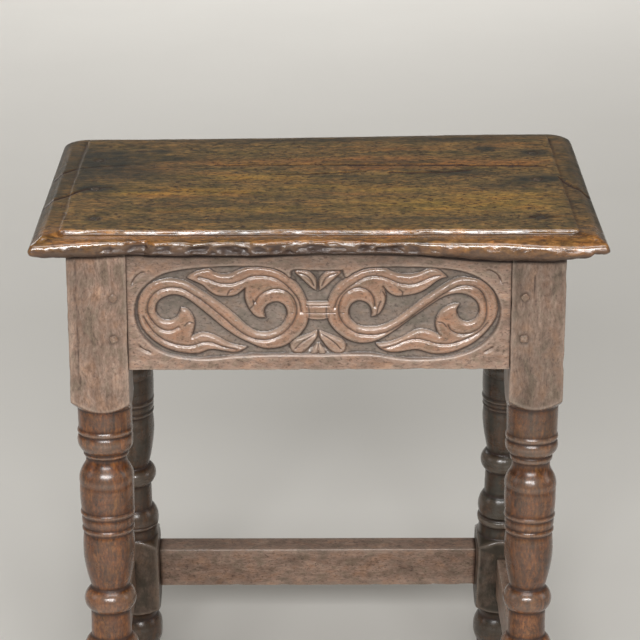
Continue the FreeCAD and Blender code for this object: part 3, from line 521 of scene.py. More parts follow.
def shell(rings):
    """The points and faces of a closed skin: rings in order, each anticlockwise about the way
    they run, joined by quads, with a pole in the middle of each end."""
    rows, columns = rings.shape[:2]
    points = np.concatenate([rings.reshape(-1, 3), rings[[0, -1]].mean(axis=1)])
    here = np.arange(columns)
    following = np.roll(here, -1)
    first = np.stack([following, here, np.full(columns, rows * columns)], axis=1)
    last = (rows - 1) * columns
    second = np.stack([last + here, last + following, np.full(columns, rows * columns + 1)], axis=1)
    return points, grid_faces(rows, columns).tolist() + first.tolist() + second.tolist()


def with_poles(values):
    """Values of a shell's rings as one list, with those of its two poles."""
    ends = values[[0, -1]].mean(axis=1)
    return np.concatenate([values.reshape(-1, *values.shape[2:]), ends])


def grid_normals(rings):
    """Unit normals of a closed grid: the cross product of the steps to the neighbours around
    and along it."""
    around = np.roll(rings, -1, axis=1) - np.roll(rings, 1, axis=1)
    along = np.gradient(rings, axis=0)
    normals = np.cross(around, along)
    return normals / np.maximum(np.linalg.norm(normals, axis=-1, keepdims=True), 1e-12)


def relief_marks(rings, rounds, depth):
    """How hollow and how raised each point lies, from 0 to 1: its height along the normal over
    the mean of its neighbours, averaged over several rounds, as a share of a depth."""
    mean = rings
    for _ in range(rounds):
        padded = np.pad(mean, ((1, 1), (0, 0), (0, 0)), mode="edge")
        around = np.roll(mean, 1, axis=1) + np.roll(mean, -1, axis=1)
        mean = (around + padded[:-2] + padded[2:]) / 4
    height = ((rings - mean) * grid_normals(rings)).sum(axis=-1) / depth
    return np.clip(-height, 0, 1), np.clip(height, 0, 1)


def add_piece(name, nodes, slot, points, faces, material, grain, **marks):
    """Makes a piece of the object that rides on the frame and stands for its nodes. The grain
    is each point's place in the wood, with the first number along the grain, and the marks are
    one number for each point."""
    mesh = bpy.data.meshes.new(name)
    mesh.from_pydata(points.tolist(), [], faces)
    mesh.shade_smooth()
    attribute = mesh.attributes.new("grain", "FLOAT_VECTOR", "POINT")
    attribute.data.foreach_set("vector", grain.astype(np.float32).ravel())
    for mark, values in marks.items():
        attribute = mesh.attributes.new(mark, "FLOAT", "POINT")
        attribute.data.foreach_set("value", values.astype(np.float32).ravel())
    mesh.materials.append(material)
    piece = bpy.data.objects.new(name, mesh)
    bpy.context.scene.collection.objects.link(piece)
    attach(piece, "root")
    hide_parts(*nodes)


def joined(shells):
    """Several shells as one list of points and one of faces."""
    points, faces, count = [], [], 0
    for rings in shells:
        some_points, some_faces = shell(rings)
        points.append(some_points)
        faces += [[corner + count for corner in face] for face in some_faces]
        count += len(some_points)
    return np.concatenate(points), faces


# Places on the frame.


def outer_x(side):
    """The outer face of the stiles on one side."""
    low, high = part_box(f"front_{side}_leg")
    return low[0] if side == "left" else high[0]


def inner_x(side):
    """The inner face of the stiles on one side."""
    low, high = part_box(f"front_{side}_leg")
    return high[0] if side == "left" else low[0]


def leg_stance():
    """From the middle of the stool to the middle plane of the legs, at the floor."""
    sizes = bpy.context.scene.stool_joinery
    outside = BOARD_HIGH[1] - sizes.inset_ends + FRAME_TOP * math.tan(sizes.rake)
    return outside - sizes.stile_depth / 2 / math.cos(sizes.rake)


def raked(points, end):
    """Points of a leg's own frame, stood in the raked plane of the front or rear legs."""
    turn = bpy.context.scene.stool_joinery.rake
    sign = ENDS[end]
    x, y, z = np.moveaxis(points, -1, 0)
    across = sign * leg_stance() + y * math.cos(turn) - sign * z * math.sin(turn)
    above = sign * y * math.sin(turn) + z * math.cos(turn)
    return np.stack([x, across, above], axis=-1)


def level_plane(height, end, y):
    """The level in a leg's own frame at which a point reaches a height above the floor."""
    turn = bpy.context.scene.stool_joinery.rake
    return (height - ENDS[end] * y * math.sin(turn)) / math.cos(turn)


def shoulder_reach(height):
    """Half the length of a side rail at a height, between the inner faces of its stiles."""
    sizes = bpy.context.scene.stool_joinery
    outside = BOARD_HIGH[1] - sizes.inset_ends + (FRAME_TOP - height) * math.tan(sizes.rake)
    return outside - sizes.stile_depth / math.cos(sizes.rake)


# Materials.


def add_node(tree, kind, inputs=None, ramp=None, **settings):
    """Adds a node, sets it, and feeds each input with a value or with another node's output."""
    node = tree.nodes.new(kind)
    for name, value in settings.items():
        setattr(node, name, value)
    for name, value in (inputs or {}).items():
        if isinstance(value, bpy.types.NodeSocket):
            tree.links.new(value, node.inputs[name])
        else:
            node.inputs[name].default_value = value
    for place, (position, shade) in enumerate(ramp or ()):
        stops = node.color_ramp.elements
        stop = stops[place] if place < 2 else stops.new(position)
        stop.position = position
        stop.color = (*shade, 1)
    return node.outputs[0] if node.outputs else None


# How each oak is figured. First come the sizes of its patterns along and across the grain, in
# metres. Then come the share of their range that the palette covers, how far time has tinted
# it, how dark its pores are where it is dry and where it is rubbed, how pale it wears, how much
# wax lies on it where it is rubbed, how strongly its texture stands out, and its roughness
# where it is dry and where it is rubbed.
FIGURES = {
    "board": {"streak": (0.013, 0.004), "band": (0.06, 0.013), "fibre": (0.0052, 0.0027),
              "pore": (0.0056, 0.003), "tint": (0.03, 0.012), "spread": 0.1, "tinted": 0.9,
              "porous": (0.9, 0.55), "wear": 0.12, "wax": 0.7, "texture": 0.4,
              "rough": (0.34, 0.25)},
    "frame": {"streak": (0.018, 0.0042), "band": (0.05, 0.014), "fibre": (0.0045, 0.0016),
              "pore": (0.003, 0.0016), "tint": (0.013, 0.0075), "spread": 0.17, "tinted": 0.6,
              "porous": (0.55, 0.55), "wear": 0.42, "wax": 0.7, "texture": 0.25,
              "rough": (0.38, 0.3)},
    "turned": {"streak": (0.022, 0.004), "band": (0.05, 0.02), "fibre": (0.004, 0.0018),
               "pore": (0.0026, 0.0016), "tint": (0.018, 0.011), "spread": 0.13, "tinted": 0.65,
               "porous": (0.35, 0.55), "wear": 0.22, "wax": 0.2, "texture": 0.25,
               "rough": (0.42, 0.32)},
}


# What all the oak has in common: how many waves of the grain's drift and how many blotches there
# are to the metre, how far the drift draws the grain aside, in metres, how much the blotches
# change the gloss, and the share of each pattern in the grain's colour.
DRIFT_SCALE = 18.0
PATCH_SCALE = 60.0
DRIFT = 0.014
PATCH_GLOSS = 0.3
GRAIN_SHARES = {"streak": 0.35, "band": 0.22, "fibre": 0.43}


def oak(name, dry, rubbed, figure, seed):
    """Oak seen from a step away: streaks of early and late wood, fine fibres, open pores that
    hold dirt and patches that time has tinted. The dry colours change to the rubbed ones where
    the surface is polished, and the marks on the mesh lay dirt, stain, warmth and wear over
    them, with painted shade and painted shadow laid in the dirt and stain colours and painted
    highlight in the worn one."""
    finish = bpy.context.scene.stool_finish
    material = bpy.data.materials.new(name)
    material.use_nodes = True
    tree = material.node_tree
    tree.nodes.clear()
    spread = figure["spread"]

    def paint(title):
        return (*getattr(finish, title), 1)

    def mark(title):
        return add_node(tree, "ShaderNodeAttribute", attribute_name=title).node.outputs["Fac"]

    def sums(first, factor, addend, **settings):
        return add_node(tree, "ShaderNodeMath", {0: first, 1: factor, 2: addend},
                        operation="MULTIPLY_ADD", **settings)

    def over(factor, below, above, mode="MIX"):
        return add_node(tree, "ShaderNodeMixRGB", {
            "Fac": factor, "Color1": below, "Color2": above}, blend_type=mode)

    grain = add_node(tree, "ShaderNodeAttribute", attribute_name="grain").node.outputs["Vector"]
    drift = add_node(tree, "ShaderNodeTexNoise", {
        "Vector": grain, "Scale": DRIFT_SCALE, "Detail": 3.0}).node.outputs["Color"]
    centred = add_node(tree, "ShaderNodeVectorMath", {0: drift, 1: (0.5, 0.5, 0.5)},
                       operation="SUBTRACT")
    wave = add_node(tree, "ShaderNodeVectorMath", {0: centred, 1: (0.0, DRIFT, DRIFT)},
                    operation="MULTIPLY")
    wavy = add_node(tree, "ShaderNodeVectorMath", {0: grain, 1: wave}, operation="ADD")
    patterns = {}
    for title in ("streak", "band", "fibre", "pore", "tint"):
        along, across = figure[title]
        stretched = add_node(tree, "ShaderNodeMapping", {
            "Vector": wavy, "Location": (seed, 0.37 * seed, 0.71 * seed),
            "Scale": (1 / along, 1 / across, 1 / across)})
        patterns[title] = add_node(tree, "ShaderNodeTexNoise", {
            "Vector": stretched, "Scale": 1.0, "Detail": 3.0, "Roughness": 0.65})
    patch = add_node(tree, "ShaderNodeTexNoise", {
        "Vector": grain, "Scale": PATCH_SCALE, "Detail": 5.0, "Roughness": 0.65})
    pores = add_node(tree, "ShaderNodeValToRGB", {"Fac": patterns["pore"]},
                     ramp=((0.56, (0, 0, 0)), (0.64, (1, 1, 1))))
    value = 0.0
    for title, share in GRAIN_SHARES.items():
        value = sums(patterns[title], share, value)

    def palette(shades):
        return add_node(tree, "ShaderNodeValToRGB", {"Fac": value}, ramp=(
            (0.5 - spread, shades[0]), (0.5 + spread, shades[2]), (0.5, shades[1])))

    shade = over(mark("polish"), palette(dry), palette(rubbed))
    shade = over(mark("relief"), shade, paint("relief"))
    # Over the gold and warm marks the grain shows again, which flat colour would hide.
    grained = add_node(tree, "ShaderNodeMapRange", {
        "Value": value, "From Min": 0.5 - spread, "From Max": 0.5 + spread, "To Min": 0.55,
        "To Max": 1.35})
    for title in ("gold", "warm"):
        tone = over(1.0, paint(title), grained, "MULTIPLY")
        shade = over(mark(title), shade, tone)
    shade = over(mark("ground"), shade, paint("ground"))
    tint = add_node(tree, "ShaderNodeValToRGB", {"Fac": patterns["tint"]}, ramp=(
        (0.36, (0.60, 0.67, 0.60)), (0.66, (1.16, 0.99, 0.80)), (0.5, (1.0, 1.0, 1.0))))
    shade = over(figure["tinted"], shade, over(1.0, shade, tint, "MULTIPLY"))
    cloudy = add_node(tree, "ShaderNodeMapRange", {
        "Value": patch, "From Min": 0.3, "From Max": 0.7, "To Min": 0.72, "To Max": 1.25})
    shade = over(0.85, shade, cloudy, "MULTIPLY")
    dry_pores, rubbed_pores = figure["porous"]
    open_pores = sums(mark("polish"), rubbed_pores - dry_pores, dry_pores)
    pores = add_node(tree, "ShaderNodeMath", {0: pores, 1: open_pores}, operation="MULTIPLY")
    shade = over(pores, shade, paint("dirt"))
    shade = over(mark("torn"), shade, over(1.0, paint("torn"), cloudy, "MULTIPLY"))
    blotted = sums(patch, 2.0, -0.15, use_clamp=True)
    blotted = add_node(tree, "ShaderNodeMath", {0: mark("stain"), 1: blotted},
                       operation="MULTIPLY", use_clamp=True)
    # The stain mark carries real stains and painted shade, and the hollow mark dirt in hollows and
    # painted shadow and shade under the board.
    shade = over(blotted, shade, paint("stain"))
    shade = over(mark("hollow"), shade, paint("dirt"))
    # The worn mark holds real wear and the painted highlight on the carving's up-facing slopes.
    shade = over(sums(mark("worn"), figure["wear"], 0.0), shade, paint("worn"))

    height = sums(patterns["fibre"], 0.6, patterns["streak"])
    height = sums(pores, -0.8, height)
    height = sums(patch, 0.8, height)
    strength = figure["texture"]
    smooth = add_node(tree, "ShaderNodeMath", {0: mark("worn"), 1: mark("polish")},
                      operation="MAXIMUM")
    strength = sums(smooth, -0.75 * strength, strength)
    bump = add_node(tree, "ShaderNodeBump", {
        "Height": height, "Strength": strength, "Distance": 0.0008})

    gloss = add_node(tree, "ShaderNodeMapRange", {
        "Value": mark("polish"), "To Min": figure["rough"][0] - PATCH_GLOSS / 2,
        "To Max": figure["rough"][1] - PATCH_GLOSS / 2})
    gloss = sums(patch, PATCH_GLOSS, gloss)
    for title, change in (("worn", -0.14), ("relief", -0.12), ("hollow", 0.3)):
        gloss = sums(mark(title), change, gloss)
    gloss = add_node(tree, "ShaderNodeMath", {0: gloss, 1: 0.12}, operation="MAXIMUM")
    wax = sums(mark("relief"), 1.0, mark("polish"))
    wax = sums(mark("worn"), 0.6, wax)
    wax = sums(mark("ground"), 0.8, wax)
    wax = sums(mark("torn"), -0.6, wax, use_clamp=True)
    wax = sums(wax, figure["wax"], 0.0)
    surface = add_node(tree, "ShaderNodeBsdfPrincipled", {
        "Base Color": shade, "Roughness": gloss, "Normal": bump, "IOR": 1.5,
        "Coat Weight": wax, "Coat Roughness": 0.16, "Coat Normal": bump})
    add_node(tree, "ShaderNodeOutputMaterial", {"Surface": surface})
    return material


def waxed_board_oak():
    """Oak board, planed, waxed and sat on: olive brown with a dull sheen, golden and glossy on
    the rubbed moulding."""
    f = bpy.context.scene.stool_finish
    return oak("waxed_board_oak", (f.board_dark, f.board_mid, f.board_light),
               (f.edge_dark, f.edge_mid, f.edge_light), FIGURES["board"], 3.1)


def dry_frame_oak():
    """Riven oak rails, planed and carved, with little wax left: a dry pinkish brown."""
    f = bpy.context.scene.stool_finish
    shades = (f.frame_dark, f.frame_mid, f.frame_light)
    return oak("dry_frame_oak", shades, shades, FIGURES["frame"], 7.7)


def turned_leg_oak():
    """Oak legs turned on a pole lathe: dry like the rails on the square blocks, dark, red and
    glossy from handling on the turned stretches."""
    f = bpy.context.scene.stool_finish
    return oak("turned_leg_oak", (f.frame_dark, f.frame_mid, f.frame_light),
               (f.turned_dark, f.turned_mid, f.turned_light), FIGURES["turned"], 12.9)


def riven_peg_oak():
    """Pegs riven from straight oak, which show end grain: a little darker than the rails."""
    f = bpy.context.scene.stool_finish
    shades = (f.frame_dark, f.peg, f.frame_light)
    return oak("riven_peg_oak", shades, shades, FIGURES["frame"], 21.3)


def studio_floor():
    """Matt painted board, pale and even, with a faint mottle that keeps it from looking flat."""
    finish = bpy.context.scene.stool_finish
    material = bpy.data.materials.new("studio_floor")
    material.use_nodes = True
    tree = material.node_tree
    tree.nodes.clear()
    place = add_node(tree, "ShaderNodeTexCoord").node.outputs["Object"]
    mottle = add_node(tree, "ShaderNodeTexNoise", {"Vector": place, "Scale": 3.0, "Detail": 3.0})
    tone = add_node(tree, "ShaderNodeMapRange", {"Value": mottle, "To Min": 0.97, "To Max": 1.03})
    shade = add_node(tree, "ShaderNodeMixRGB", {
        "Fac": 1.0, "Color1": (*finish.floor, 1), "Color2": tone}, blend_type="MULTIPLY")
    surface = add_node(tree, "ShaderNodeBsdfPrincipled", {"Base Color": shade, "Roughness": 0.85})
    add_node(tree, "ShaderNodeOutputMaterial", {"Surface": surface})
    return material


def material_of(maker):
    """The material that a maker makes, made once."""
    name = maker.__name__
    return bpy.data.materials.get(name) or maker()


# The board.


def board_profile(rings):
    """Lines of the board's edge from the field out: its set points joined by a smooth curve.
    Each row is inset, depth, hollow, worn and moulded."""
    run = curve(BOARD_EDGE, 1.2)
    share = np.linspace(0, 1, len(run))
    return np.stack([np.interp(np.linspace(0, 1, rings), share, column) for column in run.T], 1)


def shake_depths(points):
    """How deep the drying cracks go at each point: for each, its depth times a bell of the
    distance to its line over its half width."""
    depths = np.zeros(len(points))
    for start, end, width, depth in SHAKES:
        line = np.array([start, end]) * MM
        wander = noise(points * (1, 1, 0), 0.011, 5) * 1.1 * MM
        flat = points[:, :2] + np.stack([0 * wander, wander], axis=1)
        bell = np.exp(-(line_distance(flat, line) / (width * MM)) ** 2)
        depths = np.maximum(depths, depth * MM * bell)
    return depths


def blot(points, places, seed):
    """Soft marks drawn out along the grain: the strongest of the places' bells, each broken up
    by noise."""
    flat = points[:, :2] / MM
    ragged = cloud(points, (0.03, 0.007, 0.02), seed, 4)
    total = np.zeros(len(points))
    for x, y, along, across, strength in places:
        distance = ((flat[:, 0] - x) / along) ** 2 + ((flat[:, 1] - y) / across) ** 2
        total = np.maximum(total, strength * np.exp(-distance - 0.5 * ragged * distance ** 0.5))
    return np.clip(1.6 * total * (1 + 0.5 * ragged) - 0.1, 0, 1)


def peg_dips(points, places, radius):
    """How far the wood sinks round a set of pegs: a bell of the distance past each peg's edge."""
    dips = np.zeros(len(points))
    for place in places:
        away = np.linalg.norm(points - np.array(place), axis=1)
        dips = np.maximum(dips, np.exp(-np.clip(away - radius, 0, None) ** 2 / (1.6 * MM) ** 2))
    return dips


def dirt_under_board(x, drop):
    """How dark the painted shadow under the board lies on the frame at a drop below its top, which
    is negative: a cubic step up to 1 where the board's worn front edge seems to end, which is an
    unworn edge's drop plus how far the edge has sunk there."""
    along, _, _, foot = np.array(FRONT_WEAR).T
    reach = (LIP_DROP + np.interp(x / MM, along, foot)) * MM
    return step(drop + reach, -1.5 * MM, -0.4 * MM)


def corner_lift(x, y):
    """How far the board stands up at a place: the lift of its rear right corner, which falls
    away to the left as a cubic step and to the front as the square of one."""
    half = (BOARD_HIGH - BOARD_LOW)[:2] / 2
    share = step(x, -half[0], half[0]) * step(y, -half[1], half[1]) ** 2
    return bpy.context.scene.stool_wear.board_lift * share


def board_peg_places():
    """The middles of the pegs through the board, read from the frame's own pegs: the middle of
    each group of points that lie within three peg radii of one of them."""
    radius = bpy.context.scene.stool_joinery.board_peg_radius
    places = {}
    for side in SIDES:
        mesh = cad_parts[f"{side}_board_pegs"].data
        points = np.array([vertex.co for vertex in mesh.vertices])[:, :2]
        found = []
        while len(points):
            near = np.linalg.norm(points - points[0], axis=1) < 3 * radius
            found.append((points[near].min(axis=0) + points[near].max(axis=0)) / 2)
            points = points[~near]
        places[side] = found
    return places


def board_rings(loop, half, inset, depth):
    """Rings of the board's edge. A point is the loop's place, from -1 to 1 each way, times the
    half size less the inset. In a corner it is drawn in to a circle round the corner's core,
    whose radius shrinks with the inset."""
    reach = half - inset[..., None] * MM
    rings = loop * reach
    radius = np.where(loop[:, 1] > 0, REAR_CORNER, FRONT_CORNER)
    radius = np.maximum(radius - 0.8 * inset, 1.5) * MM
    core = reach - radius[..., None]
    beyond = np.abs(rings) - core
    # Along a straight side one of the two is not beyond the core, and the ring stays there.
    corner = (beyond > 0).all(axis=-1)
    pulled = beyond * (radius / np.maximum(np.linalg.norm(beyond, axis=-1), 1e-9))[..., None]
    rings = np.where(corner[..., None], np.sign(rings) * (core + pulled), rings)
    heights = np.broadcast_to(BOARD_HIGH[2] - depth * MM, rings.shape[:2])
    return np.concatenate([rings, heights[..., None]], axis=-1)


def board_faces(rows, columns, ring_count, loop_count):
    """Faces of the board: the field's grid, its border to the first ring, ring to ring, and the
    last ring to the pole, which is the last point."""
    field = np.arange(rows * columns).reshape(rows, columns)
    border = np.concatenate([field[0, :-1], field[:-1, -1], field[-1, :0:-1], field[:0:-1, 0]])
    ring_points = rows * columns + np.arange(ring_count * loop_count)
    lines = np.concatenate([[border], ring_points.reshape(-1, loop_count)])
    following = np.roll(lines, -1, axis=1)
    skirt = np.stack([lines[:-1], lines[1:], following[1:], following[:-1]], -1).reshape(-1, 4)
    pole = np.full(loop_count, ring_points[-1] + 1)
    fan = np.stack([lines[-1], pole, following[-1]], axis=1)
    return grid_faces(rows, columns, False).tolist() + skirt.tolist() + fan.tolist()


def worn_edge(loop, half):
    """The board's edge, a row for each line of its profile and a column for each place of the
    loop: insets and depths in millimetres, and the marks that wear has left."""
    profile = board_profile(EDGE_LINES)[1:]
    inset, depth, hollow, worn, moulded = (column[:, None] for column in profile.T)

    # The lines of the edge wander, and the step round the field is worn low at both ends.
    place = loop * half
    flat = np.concatenate([place, np.zeros((len(loop), 1))], axis=1)
    wander = cloud(flat, 0.032, 31, 3)
    inset = inset + 0.8 * wander * np.exp(-((depth - 1.5) / 2) ** 2)
    ends = step(np.abs(loop[:, 0]), 0.97, 1.0) * np.where(loop[:, 0] < 0, 0.8, 0.55)
    ends = ends * (1 - step(loop[:, 1], 0.6, 0.97))
    low_edge = np.exp(-((depth - 13.0) / 4.0) ** 2)
    depth = depth * (1 - ends * step(inset, 5, 12))

    # In front the edge is broken away. Below its lip the break leans out towards the light for
    # three millimetres, then drops.
    front = step(-loop[:, 1], 0.97, 1.0)
    along_front, cut, sunk, foot = np.array(FRONT_WEAR).T
    cut, sunk, foot = (np.interp(place[:, 0] / MM, along_front, column) * front
                       for column in (cut, sunk, foot))
    ragged = cloud(flat, (0.014, 0.5, 1), 41, 4)
    fall = depth - BREAK_DEPTH
    bevel = (cut + 1.3 * ragged * step(cut, 0, 4) - 0.5 * np.minimum(fall, 3)
             - 0.15 * np.maximum(fall - 3, 0))
    broken = front * step(bevel - inset, 0.5, 2.4) * step(cut, 0.3, 2.5)
    inset = 0.5 * (inset + bevel + np.sqrt((inset - bevel) ** 2 + 1.2 * front * step(cut, 0, 2)))

    # Broken wood is splintered, and the whole front edge has sunk unevenly.
    spots = np.stack(np.broadcast_arrays(place[:, 0], depth * MM, place[:, 1]), -1)
    tatter = (1.7 * np.abs(cloud(spots, (0.012, 0.0055, 0.012), 47, 2))
              + 0.5 * np.abs(cloud(spots, (0.0046, 0.0026, 0.0046), 53, 2)))
    tatter = tatter * step(depth, 5.5, 9)
    rough = np.maximum(broken, low_edge * front * 0.55)
    inset = inset + 1.3 * tatter * (rough + 0.12 * low_edge)
    outward = step(-inset, -17, -4)
    lower = np.clip((depth - 5) / 12, 0, 1)
    depth = depth + outward * (sunk * (1 - lower) + (foot + 0.8 * ragged * front) * lower)
    inset = np.maximum(inset, 0.15)

    # The front edge is rubbed by legs and hands, the others hardly at all.
    handled = 0.1 + 0.9 * step(-loop[:, 1], 0.9, 1.0)
    crevice = np.clip(1.5 * tatter - 0.5, 0, 1) * rough
    marks = {
        "moulded": moulded,
        "worn": worn * handled * (0.7 + 0.3 * wander) * (1 - ends) * (1 - 0.9 * broken),
        "hollow": np.maximum(hollow * (0.8 - 0.5 * ends), 0.9 * crevice),
        "torn": rough * step(depth, BREAK_DEPTH, 7),
        "stain": (1 - handled) * step(depth, 2, 5)}
    return inset, depth, marks


def make_board():
    """The board is a grid over its field, with rings round it that follow the edge's profile out
    and under, each as worn as its place."""
    sizes = bpy.context.scene.stool_joinery
    half = (BOARD_HIGH - BOARD_LOW)[:2] / 2
    field = half - BOARD_EDGE[0][0] * MM
    # Rows crowd towards the long crack, where the wood needs finer lines.
    crack = SHAKES[1][0][1] * MM / field[1]
    along = np.linspace(-1, 1, FIELD_COLUMNS)
    even = np.linspace(-1, 1, FIELD_ROWS)
    across = even - 0.06 * np.sin(np.pi * (even - crack)) * (1 - even ** 2)
    loop = np.concatenate([
        np.stack([along[:-1], np.full(len(along) - 1, -1.0)], 1),
        np.stack([np.ones(len(across) - 1), across[:-1]], 1),
        np.stack([along[:0:-1], np.ones(len(along) - 1)], 1),
        np.stack([np.full(len(across) - 1, -1.0), across[:0:-1]], 1)])
    inset, depth, on_edge = worn_edge(loop, half)

    x, y = np.meshgrid(along * field[0], across * field[1])
    top = np.stack([x, y, np.full_like(x, BOARD_HIGH[2])], axis=-1)
    rings = board_rings(loop, half, inset, depth)
    # Three more rings and a pole close the underside.
    below = np.stack([rings[-1] * (share, share, 1) for share in (0.75, 0.4, 0.12)])
    rings = np.concatenate([rings, below])
    points = np.concatenate([top.reshape(-1, 3), rings.reshape(-1, 3),
                             [[0, 0, BOARD_LOW[2]]]])
    faces = board_faces(FIELD_ROWS, FIELD_COLUMNS, len(rings), len(loop))

    def whole(field_value, ring_values):
        """One list of a mark: even over the field, by ring outside it, and none below."""
        ring_values = np.broadcast_to(ring_values, inset.shape)
        return np.concatenate([np.full(x.size, field_value), ring_values.ravel(),
                               np.zeros(below[..., 0].size), [0]])

    upper = step(points[:, 2], BOARD_HIGH[2] - 9 * MM, BOARD_HIGH[2] - 6 * MM)
    cracks = shake_depths(points)
    pegs = [(*place, BOARD_HIGH[2]) for found in board_peg_places().values() for place in found]
    dips = peg_dips(points, pegs, sizes.board_peg_radius)
    swell = (cloud(points, (0.16, 0.05, 1), 11, 2) * 0.35
             + cloud(points, (0.03, 0.008, 1), 17, 3) * 0.16)
    dished = -0.5 * np.exp(-((points[:, 0] / 0.14) ** 2 + (points[:, 1] / 0.08) ** 2))
    points[:, 2] += upper * ((swell + dished - 0.25) * MM - cracks - 0.5 * MM * dips)
    points[:, 2] += corner_lift(points[:, 0], points[:, 1])

    edge = whole(0.0, on_edge["moulded"])
    # The edge's hollow mark holds dirt in the quirk and painted shade under the nose.
    deep = whole(0.0, on_edge["hollow"])
    crack_dirt = upper * step(cracks, 0.1 * MM, 0.5 * MM)
    # The moulding is rubbed golden along the front, and stays dark elsewhere.
    facing = np.maximum(step(-points[:, 1], 0.085, 0.13), 0.12)
    facing = facing * (0.8 + 0.3 * cloud(points, 0.05, 61, 3))
    rims = peg_dips(points, pegs, 5.5 * MM) * upper
    weathered = 1.1 + 0.5 * cloud(points, (0.012, 0.004, 0.004), 71, 3)
    grain = points + (0.31, 0.02, 0.05)
    add_piece(
        "seat_board_oak", ["seat_board"], "board_oak", points, faces,
        material_of(waxed_board_oak), grain,
        hollow=np.clip(np.maximum(np.maximum(deep, crack_dirt), 0.55 * dips * upper), 0, 1),
        worn=np.clip(whole(0.05, on_edge["worn"]), 0, 1), polish=np.clip(edge * facing, 0, 1),
        stain=np.maximum.reduce([
            blot(points, DARK_MARKS, 83) * upper * (1 - 0.25 * edge), 0.7 * rims,
            whole(0.0, on_edge["stain"])]),
        warm=0.65 * blot(points, WARM_STREAKS, 89) * upper * (1 - edge),
        gold=0.6 * blot(points, GOLD_STREAKS, 97) * upper * (1 - edge),
        torn=np.clip(whole(0.0, on_edge["torn"]) * weathered, 0, 0.95))


# The legs.


def lathe_line(rows, radius, low, high):
    """Levels and radii down a turned stretch. Along each moulding the radius goes evenly from
    its top to its bottom value, plus a circle's arc that stands off that line by the bow."""
    levels, radii = [], []
    for top, bottom, top_radius, bottom_radius, bow in rows:
        share = np.linspace(0, 1, MOULDING_LINES)
        length = (top - bottom) * (high - low)
        swell = abs(bow) * radius
        arc = 0 * share
        if swell:
            reach = length ** 2 / (8 * swell) + swell / 2
            away = (share - 0.5) * length
            arc = np.sqrt(np.maximum(reach ** 2 - away ** 2, 0)) - (reach - swell)
        levels.append(low + (top - share * (top - bottom)) * (high - low))
        radii.append((top_radius + share * (bottom_radius - top_radius)) * radius
                     + math.copysign(1, bow) * arc)
    return np.concatenate(levels)[::-1], np.concatenate(radii)[::-1]


def block_levels():
    """Where a leg's square blocks end, in its own frame: the ankle, the top of the low block,
    the foot of the high block, and the crown under the board."""
    sizes = bpy.context.scene.stool_joinery
    turn = math.cos(sizes.rake)
    ankle = (sizes.stretcher_level - sizes.block_margin) / turn
    low = (sizes.stretcher_level + sizes.stretcher_height + sizes.block_margin) / turn
    high = (FRAME_TOP - sizes.frieze_height - sizes.stile_drop) / turn
    return ankle, low, high, FRAME_TOP / turn


def leg_lathe(end, side, reach):
    """The levels of a leg's rings and the lathe's radius at each: the foot and the mouldings,
    out to the reach of the stock's corners a shoulder's rise into each block, and beyond the
    stock between. Rings are close together where the lathe has cut."""
    sizes = bpy.context.scene.stool_joinery
    radius, rise = getattr(sizes, f"turned_{side}"), sizes.shoulder_rise
    ankle, low, high, crown = block_levels()
    turned_levels, turned_radii = lathe_line(TURNING_SHARES, radius, low, high)
    shifts = np.array(LEVEL_SHIFTS[end, side]) * MM
    turned_levels = turned_levels + np.interp(turned_levels, shifts[:, 0], shifts[:, 1])
    foot_levels, foot_radii = lathe_line(FOOT_SHARES, radius, 0, ankle)
    far, hair = 3 * reach, 0.01 * MM
    lathe_levels = np.concatenate([
        foot_levels, [ankle + rise, ankle + rise + hair, low - rise - hair, low - rise],
        turned_levels, [high + rise, high + rise + hair, crown + sizes.stile_depth / 2]])
    lathe_radii = np.concatenate([
        foot_radii, [reach, far, far, reach], turned_radii, [reach, far, far]])

    arch = 0.9 * MM
    spans = ((0, ankle, 1.1 * MM), (ankle, ankle + rise, arch),
             (ankle + rise, low - rise, 2.4 * MM), (low - rise, low, arch),
             (low, high, 1.0 * MM), (high, high + rise, arch), (high + rise, crown, 1.35 * MM))
    levels = [np.arange(bottom, top, pace) for bottom, top, pace in spans]
    levels += [turned_levels[MOULDING_LINES // 2::MOULDING_LINES], [crown]]
    levels = np.unique(np.round(np.concatenate(levels), 5))
    return levels, np.interp(levels, lathe_levels, lathe_radii)


def leg_wear(places, square, seed):
    """How far a leg's skin stands off its true form: a slow swell less dents, and on the turned
    stretches the chatter of the tool."""
    swell = cloud(places, (0.03, 0.03, 0.09), seed, 2) * 0.22 * MM
    dents = np.clip(cloud(places, 0.011, seed + 5, 3) - 0.35, 0, 1)
    dents = dents * bpy.context.scene.stool_wear.dent
    chatter = cloud(places, (0.012, 0.012, 0.0022), seed + 9, 2) * 0.05 * MM
    return np.where(square > 0.5, swell * 0.7 - dents, swell * 0.6 - 0.6 * dents + chatter)


def joint_peg_places(end, side):
    """The pegs of a leg in its own frame, as place and direction: through the front or rear
    face and through the outer side, at the frieze and at the stretcher."""
    sizes = bpy.context.scene.stool_joinery
    turn = math.cos(sizes.rake)
    width = abs(outer_x(side) - inner_x(side))
    offset = getattr(sizes, f"lathe_offset_{side}")
    across = SIDES[side] * (offset - width / 2 + sizes.peg_inset)
    along = ENDS[end] * (sizes.peg_inset - sizes.stile_depth / 2)
    outside = SIDES[side] * (offset + width / 2)
    face = ENDS[end] * sizes.stile_depth / 2
    frieze = [FRAME_TOP / turn - share * sizes.frieze_height for share in FRIEZE_PEG_SHARES]
    stretcher = [sizes.stretcher_level / turn + sizes.stretcher_height / 2]
    places = {}
    for kind, levels in (("frieze", frieze), ("stretcher", stretcher)):
        places[kind, end] = [((across, face, level), (0, ENDS[end], 0)) for level in levels]
        places[kind, side] = [((outside, along, level), (SIDES[side], 0, 0)) for level in levels]
    return places


